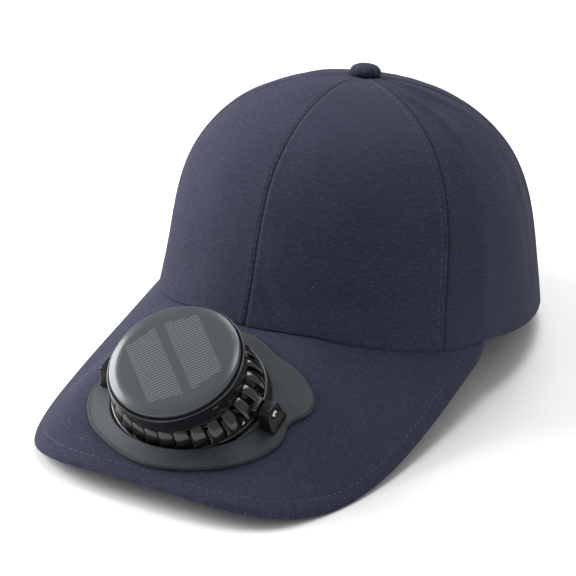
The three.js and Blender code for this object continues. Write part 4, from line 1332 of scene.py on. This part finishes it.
def make_lid():
    r = LID["radius"]
    radii = np.concatenate([np.linspace(0, r * 0.88, 26), np.linspace(r * 0.89, r * 0.985, 10)])
    profile = [(0, LID_LOW), (r - 0.35, LID_LOW), (r, LID_LOW + 0.35), (r, lid_height(r * 0.985) - 0.55)]
    profile += [(r * 0.995, lid_height(r * 0.985) - 0.2)]
    profile += [(x, lid_height(x)) for x in radii[::-1]]
    profile = [(float(x), float(z)) for x, z in profile]
    points, faces = turned(profile, 192)
    made = build("solar_lid_cover", HEAD(points), faces, material("smoked lid"))
    return finish_piece(made, "fan_head", "lid", "solar_lid")


def cell_turn(points):
    """Points turned as the cells lie in the lid."""
    c, s = math.cos(CELL["turn"]), math.sin(CELL["turn"])
    points = np.asarray(points, float)
    return np.stack([points[..., 0] * c - points[..., 1] * s, points[..., 0] * s + points[..., 1] * c], -1)


def make_cell(side, rows=10, columns=24):
    name = "back" if side > 0 else "front"
    near, far = CELL["gap"] / 2, CELL["gap"] / 2 + CELL["width"]
    v = np.linspace(0, 1, rows)[:, None]
    u = np.linspace(-1, 1, columns)[None, :]
    y = near + (far - near) * v
    x = u * (CELL["inside"] + (CELL["outside"] - CELL["inside"]) * v) / 2
    flat = cell_turn(np.stack(np.broadcast_arrays(x, y * side), -1))
    top = stack(flat[..., 0], flat[..., 1], lid_height(np.hypot(flat[..., 0], flat[..., 1])) + 0.012)
    bottom = stack(flat[..., 0], flat[..., 1], LID_TOP - CELL["thickness"])
    points, faces = shell(top, bottom)
    made = build(f"cell_{name}", HEAD(points), faces, material("cell glass"))
    made.data.set_sharp_from_angle(angle=math.radians(40))
    return finish_piece(made, "fan_head", "cell", f"solar_cell_{name}")


def make_cell_lines():
    """Fine lines across both cells, laid on the dome."""
    fan = bpy.context.scene.hat_fan
    starts, ends = [], []
    for side in (1, -1):
        at = (np.arange(fan.cell_lines) + 0.5) / fan.cell_lines * 2 - 1
        x = at * CELL["inside"] / 2 * 0.985
        slope = (CELL["inside"] - CELL["outside"]) / 2 / CELL["width"]
        full = CELL["width"] - 0.6
        length = np.minimum(full, np.maximum((CELL["inside"] / 2 - np.abs(x)) / slope - 0.5, 0.6))
        for ends_of, y in ((starts, CELL["gap"] / 2 + 0.3), (ends, CELL["gap"] / 2 + 0.3 + length)):
            flat = cell_turn(np.stack(np.broadcast_arrays(x, y * side), -1))
            ends_of.append(stack(flat[:, 0], flat[:, 1], lid_height(np.hypot(flat[:, 0], flat[:, 1])) + 0.03))
    starts, ends = np.concatenate(starts), np.concatenate(ends)
    whole = np.linalg.norm(ends - starts, axis=1)
    shape = build("line_shape", *box(*[(-0.5, 0.5)] * 3), material("cell line"))
    made = repeat(
        "solar_cell_lines",
        HEAD((starts + ends) / 2),
        HEAD.turn(ends - starts),
        HEAD.turn((0, 0, 1)),
        stack(whole * MM, 1.0, 1.0),
        shape,
        material("cell line"),
        Width=fan.line_width,
        Height=0.05 * MM,
        Seed=3,
    )
    made.data.shade_flat()
    return finish_piece(made, "fan_head", "cell")


def make_grille():
    """The round grille under the brim: hoops, spokes and a domed middle."""
    top = DUCT["bottom"] - CLEARANCE
    bottom, bar = top - GRILLE["height"], GRILLE["bar"]
    parts = []
    for i in range(GRILLE["rings"]):
        outer = GRILLE["hub"] + (DUCT["radius"] - GRILLE["hub"]) * (i + 1) / GRILLE["rings"]
        profile = [(outer, top), (outer, bottom), (outer - bar, bottom), (outer - bar, top)]
        points, faces = turned(eased(profile, 0.4, 3), 96)
        parts.append(build(f"hoop_{i}", HEAD(points), faces, material("black plastic")))
    hub = GRILLE["hub"]
    profile = [(0, top), (hub, top), (hub, bottom + 0.3), (hub * 0.6, bottom), (0, bottom - 0.15)]
    points, faces = turned(eased(profile, 0.35, 3), 64)
    parts.append(build("hub", HEAD(points), faces, material("black plastic")))
    for i in range(GRILLE["spokes"]):
        x0, x1, y = hub - 0.8, DUCT["radius"] - bar / 2, bar / 2
        points, faces = box((x0, x1), (-y, y), (bottom + 0.1, top - 0.1))
        points = spun(points, i / GRILLE["spokes"] * FULL)
        spoke = build(f"spoke_{i}", HEAD(points), faces, material("black plastic"), flat=True)
        parts.append(bevelled(spoke, 0.35, 2))
    return join("under_grille", parts, "bottom_grille")


def make_rotor(stations=12, steps=6):
    """The impeller: a cup hub with five swept blades."""
    hub, top = ROTOR["hub"], ROTOR["top"]
    bottom = top - ROTOR["height"]
    bore_end = DECK_TOP - HOUSING["deck"] - 2 * CLEARANCE - MOTOR["height"] - MOTOR["shaft"]
    profile = [(0, bottom), (hub * 0.55, bottom), (hub - 1.2, bottom + 0.15), (hub - 0.3, bottom + 0.6)]
    profile += [(hub, bottom + 1.4), (hub, top), (ROTOR["bore"], top), (ROTOR["bore"], bore_end), (0, bore_end)]
    points, faces = turned(eased(profile, 0.3, 3), 72)
    parts = [build("rotor_hub", HEAD(points), faces, material("satin black"))]
    share = np.linspace(0, 1, stations)
    lean = spline(BLADE_STATIONS[:, 0], BLADE_STATIONS[:, 1])(share)
    sweep = spline(BLADE_STATIONS[:, 0], BLADE_STATIONS[:, 2])(share)
    level = np.linspace(-1, 1, steps)
    for i in range(ROTOR["blades"]):
        loops = []
        for s, tilt, turn in zip(share, np.radians(lean), np.radians(sweep)):
            out = hub - 0.8 + (ROTOR["radius"] - hub + 0.8) * s
            run = ROTOR["rise"] / 2 / math.tan(tilt)
            half = ROTOR["thickness"] / 2 * np.sqrt(1 - 0.7 * level**2)
            along = np.concatenate([level * run + half, (level * run - half)[::-1]])
            high = np.concatenate([level, level[::-1]]) * ROTOR["rise"] / 2 * (1 - 0.25 * s**8)
            angle = i / ROTOR["blades"] * FULL + turn + along / out
            loops.append(stack(out * np.cos(angle), out * np.sin(angle), top - ROTOR["height"] / 2 + high))
        parts.append(build(f"blade_{i}", HEAD(loops), capped(stations, 2 * steps), material("satin black")))
    return join("impeller_rotor", parts, "impeller", body="impeller")


def dress_node(name, finish):
    """Gives a CAD node that stays as it is a better material."""
    node = frame["nodes"][name]
    node.data.materials.clear()
    node.data.materials.append(material(finish))


# Stage


def make_stage():
    stage = bpy.context.scene.hat_stage
    s = Shader("pale floor")
    grain = s.noise(s.place(), 40.0, 3.0)
    base = s.mix(grain, (0.9, 0.9, 0.9), (0.92, 0.92, 0.92))
    finish = s.surface(Base_Color=base, Roughness=0.9)
    corners = [(x * FLOOR["half"], y * FLOOR["half"], FLOOR["height"]) for x, y in ((-1, -1), (1, -1), (1, 1), (-1, 1))]
    mesh = bpy.data.meshes.new("floor")
    mesh.from_pydata(corners, [], [[0, 1, 2, 3]])
    mesh.materials.append(finish)
    floor = bpy.data.objects.new("floor", mesh)
    bpy.context.scene.collection.objects.link(floor)
    world = bpy.data.worlds.new("studio")
    world.use_nodes = True
    background = world.node_tree.nodes["Background"]
    background.inputs["Color"].default_value = (1, 1, 1, 1)
    background.inputs["Strength"].default_value = stage.world_strength
    bpy.context.scene.world = world
    bpy.context.scene.view_settings.view_transform = "Standard"
    lights = (
        ("key", (-1.3, -0.25, 0.72), 1.1, stage.key_power),
        ("top", (-0.15, 0.75, 1.2), 0.9, stage.top_power),
        ("glint", (0.05, 0.1, 1.35), 0.4, stage.glint_power),
    )
    for name, at, width, power in lights:
        data = bpy.data.lights.new(name, "AREA")
        data.shape, data.size, data.energy = "DISK", width, power
        lamp = bpy.data.objects.new(name, data)
        lamp.location = at
        lamp.rotation_mode = "QUATERNION"
        lamp.rotation_quaternion = (Vector((0, 0, 0.05)) - Vector(at)).to_track_quat("-Z", "Y")
        bpy.context.scene.collection.objects.link(lamp)
    camera = bpy.data.cameras.new("camera")
    camera.lens, camera.sensor_width = stage.lens, 36.0
    camera.clip_start, camera.clip_end = 0.05, 20
    holder = bpy.data.objects.new("camera", camera)
    right = HEM.turn(CAMERA["right"])
    back = HEM.turn(CAMERA["back"])
    upward = np.cross(back, right)
    matrix = np.eye(4)
    matrix[:3, 0], matrix[:3, 1], matrix[:3, 2] = right, upward, back
    matrix[:3, 3] = HEM(CAMERA["at"])
    holder.matrix_world = Matrix(matrix)
    bpy.context.scene.collection.objects.link(holder)
    bpy.context.scene.camera = holder


# Add-on


class HatCloth(bpy.types.PropertyGroup):
    """Sizes and colour of the cloth and its stitching"""

    colour: FloatVectorProperty(
        name="Cloth", description="Colour of the cotton", default=(0.036, 0.04, 0.069), subtype="COLOR", min=0, max=1
    )
    seam_dip: FloatProperty(
        name="Seam dip", description="Depth of the seams", default=0.0004, subtype="DISTANCE", unit="LENGTH"
    )
    stitch_dip: FloatProperty(
        name="Stitch dip", description="Depth of a row of stitches", default=0.0002, subtype="DISTANCE", unit="LENGTH"
    )
    brim_stitch_offset: FloatProperty(
        name="Brim stitch offset",
        description="From the brim's edge to its stitches",
        default=0.0042,
        subtype="DISTANCE",
        unit="LENGTH",
    )
    stitch_length: FloatProperty(
        name="Stitch length", description="Length of a stitch", default=0.0022, subtype="DISTANCE", unit="LENGTH"
    )
    stitch_gap: FloatProperty(
        name="Stitch gap", description="Gap between stitches", default=0.0008, subtype="DISTANCE", unit="LENGTH"
    )
    thread_width: FloatProperty(
        name="Thread", description="Thickness of the thread", default=0.0004, subtype="DISTANCE", unit="LENGTH"
    )


class HatFan(bpy.types.PropertyGroup):
    """Sizes and colours of the fan"""

    plate_colour: FloatVectorProperty(
        name="Plate",
        description="Colour of the soft plate",
        default=(0.02, 0.025, 0.029),
        subtype="COLOR",
        min=0,
        max=1,
    )
    lid_colour: FloatVectorProperty(
        name="Lid", description="Colour of the smoked lid", default=(0.043, 0.05, 0.057), subtype="COLOR", min=0, max=1
    )
    fins: IntProperty(name="Fins", description="Number of fins in the guard", default=26, min=3)
    fin_slant: FloatProperty(
        name="Fin slant", description="Lean of the fins", default=math.radians(72), subtype="ANGLE", unit="ROTATION"
    )
    fin_gap: FloatProperty(
        name="Fin gap", description="Gap between fins", default=0.0014, subtype="DISTANCE", unit="LENGTH"
    )
    fin_thickness: FloatProperty(
        name="Fin thickness", description="Thickness of a fin", default=0.0012, subtype="DISTANCE", unit="LENGTH"
    )
    cell_lines: IntProperty(name="Cell lines", description="Fine lines across each cell", default=30, min=2)
    line_width: FloatProperty(
        name="Line width", description="Width of a cell line", default=0.00027, subtype="DISTANCE", unit="LENGTH"
    )


class HatStage(bpy.types.PropertyGroup):
    """Lights and camera"""

    lens: FloatProperty(name="Lens", description="Focal length on a 36 mm sensor", default=136.2, min=20, max=300)
    world_strength: FloatProperty(name="World", description="Strength of the even light", default=0.55, min=0)
    key_power: FloatProperty(name="Key", description="Power of the key light in watts", default=30.0, min=0)
    top_power: FloatProperty(name="Top", description="Power of the top light in watts", default=10.0, min=0)
    glint_power: FloatProperty(name="Glint", description="Power of the small light in watts", default=3.0, min=0)


class HAT_OT_crown(bpy.types.Operator):
    """Make the six cloth panels of the crown"""

    bl_idname = "hat.crown"
    bl_label = "Crown panels"

    def execute(self, context):
        for index in range(len(PANELS)):
            make_panel(index)
        return {"FINISHED"}


class HAT_OT_seam_stitches(bpy.types.Operator):
    """Sew the rows of stitches beside the crown's seams"""

    bl_idname = "hat.seam_stitches"
    bl_label = "Seam stitches"

    def execute(self, context):
        make_seam_stitches()
        return {"FINISHED"}


class HAT_OT_button(bpy.types.Operator):
    """Make the covered button on top of the crown"""

    bl_idname = "hat.button"
    bl_label = "Crown button"

    def execute(self, context):
        make_button()
        return {"FINISHED"}


class HAT_OT_brim(bpy.types.Operator):
    """Make the cloth brim and its stitches"""

    bl_idname = "hat.brim"
    bl_label = "Brim"

    def execute(self, context):
        make_brim()
        make_brim_stitches()
        return {"FINISHED"}


class HAT_OT_plate(bpy.types.Operator):
    """Make the soft plate round the fan"""

    bl_idname = "hat.plate"
    bl_label = "Mount plate"

    def execute(self, context):
        make_plate()
        return {"FINISHED"}


class HAT_OT_pivots(bpy.types.Operator):
    """Make the lugs and screws that carry the fan"""

    bl_idname = "hat.pivots"
    bl_label = "Pivots"

    def execute(self, context):
        for side in (1, -1):
            make_lug(side)
            make_screw(side)
        return {"FINISHED"}


class HAT_OT_guard(bpy.types.Operator):
    """Make the fan's guard ring and its fins"""

    bl_idname = "hat.guard"
    bl_label = "Guard"

    def execute(self, context):
        make_guard_ring()
        make_fins()
        return {"FINISHED"}


class HAT_OT_housing(bpy.types.Operator):
    """Make the round housing under the lid"""

    bl_idname = "hat.housing"
    bl_label = "Housing"

    def execute(self, context):
        make_housing()
        return {"FINISHED"}


class HAT_OT_lid(bpy.types.Operator):
    """Make the domed lid, its two cells and their lines"""

    bl_idname = "hat.lid"
    bl_label = "Solar lid"

    def execute(self, context):
        make_lid()
        make_cell(1)
        make_cell(-1)
        make_cell_lines()
        return {"FINISHED"}


class HAT_OT_works(bpy.types.Operator):
    """Make the impeller and the grille below, and finish the motor"""

    bl_idname = "hat.works"
    bl_label = "Fan works"

    def execute(self, context):
        dress_node("motor", "steel")
        make_rotor()
        make_grille()
        return {"FINISHED"}


class HAT_OT_stage(bpy.types.Operator):
    """Make the floor, the lights and the camera"""

    bl_idname = "hat.stage"
    bl_label = "Stage"

    def execute(self, context):
        make_stage()
        return {"FINISHED"}


OPERATORS = (
    HAT_OT_crown,
    HAT_OT_seam_stitches,
    HAT_OT_button,
    HAT_OT_brim,
    HAT_OT_plate,
    HAT_OT_pivots,
    HAT_OT_guard,
    HAT_OT_housing,
    HAT_OT_lid,
    HAT_OT_works,
    HAT_OT_stage,
)


class HAT_PT_panel(bpy.types.Panel):
    """Lists the steps that make the hat"""

    bl_idname = "HAT_PT_panel"
    bl_label = "Solar fan hat"
    bl_space_type = "VIEW_3D"
    bl_region_type = "UI"
    bl_category = "Hat"

    def draw(self, context):
        for group in (context.scene.hat_cloth, context.scene.hat_fan, context.scene.hat_stage):
            for name in group.__annotations__:
                self.layout.prop(group, name)
        for operator in OPERATORS:
            self.layout.operator(operator.bl_idname)


GROUPS = {"hat_cloth": HatCloth, "hat_fan": HatFan, "hat_stage": HatStage}


def register():
    for group in GROUPS.values():
        bpy.utils.register_class(group)
    for operator in OPERATORS:
        bpy.utils.register_class(operator)
    bpy.utils.register_class(HAT_PT_panel)
    for name, group in GROUPS.items():
        setattr(bpy.types.Scene, name, PointerProperty(type=group))


def unregister():
    for name in GROUPS:
        delattr(bpy.types.Scene, name)
    bpy.utils.unregister_class(HAT_PT_panel)
    for operator in reversed(OPERATORS):
        bpy.utils.unregister_class(operator)
    for group in GROUPS.values():
        bpy.utils.unregister_class(group)


def main():
    register()
    for operator in OPERATORS:
        family, step = operator.bl_idname.split(".")
        getattr(getattr(bpy.ops, family), step)()


if __name__ == "__main__":
    main()
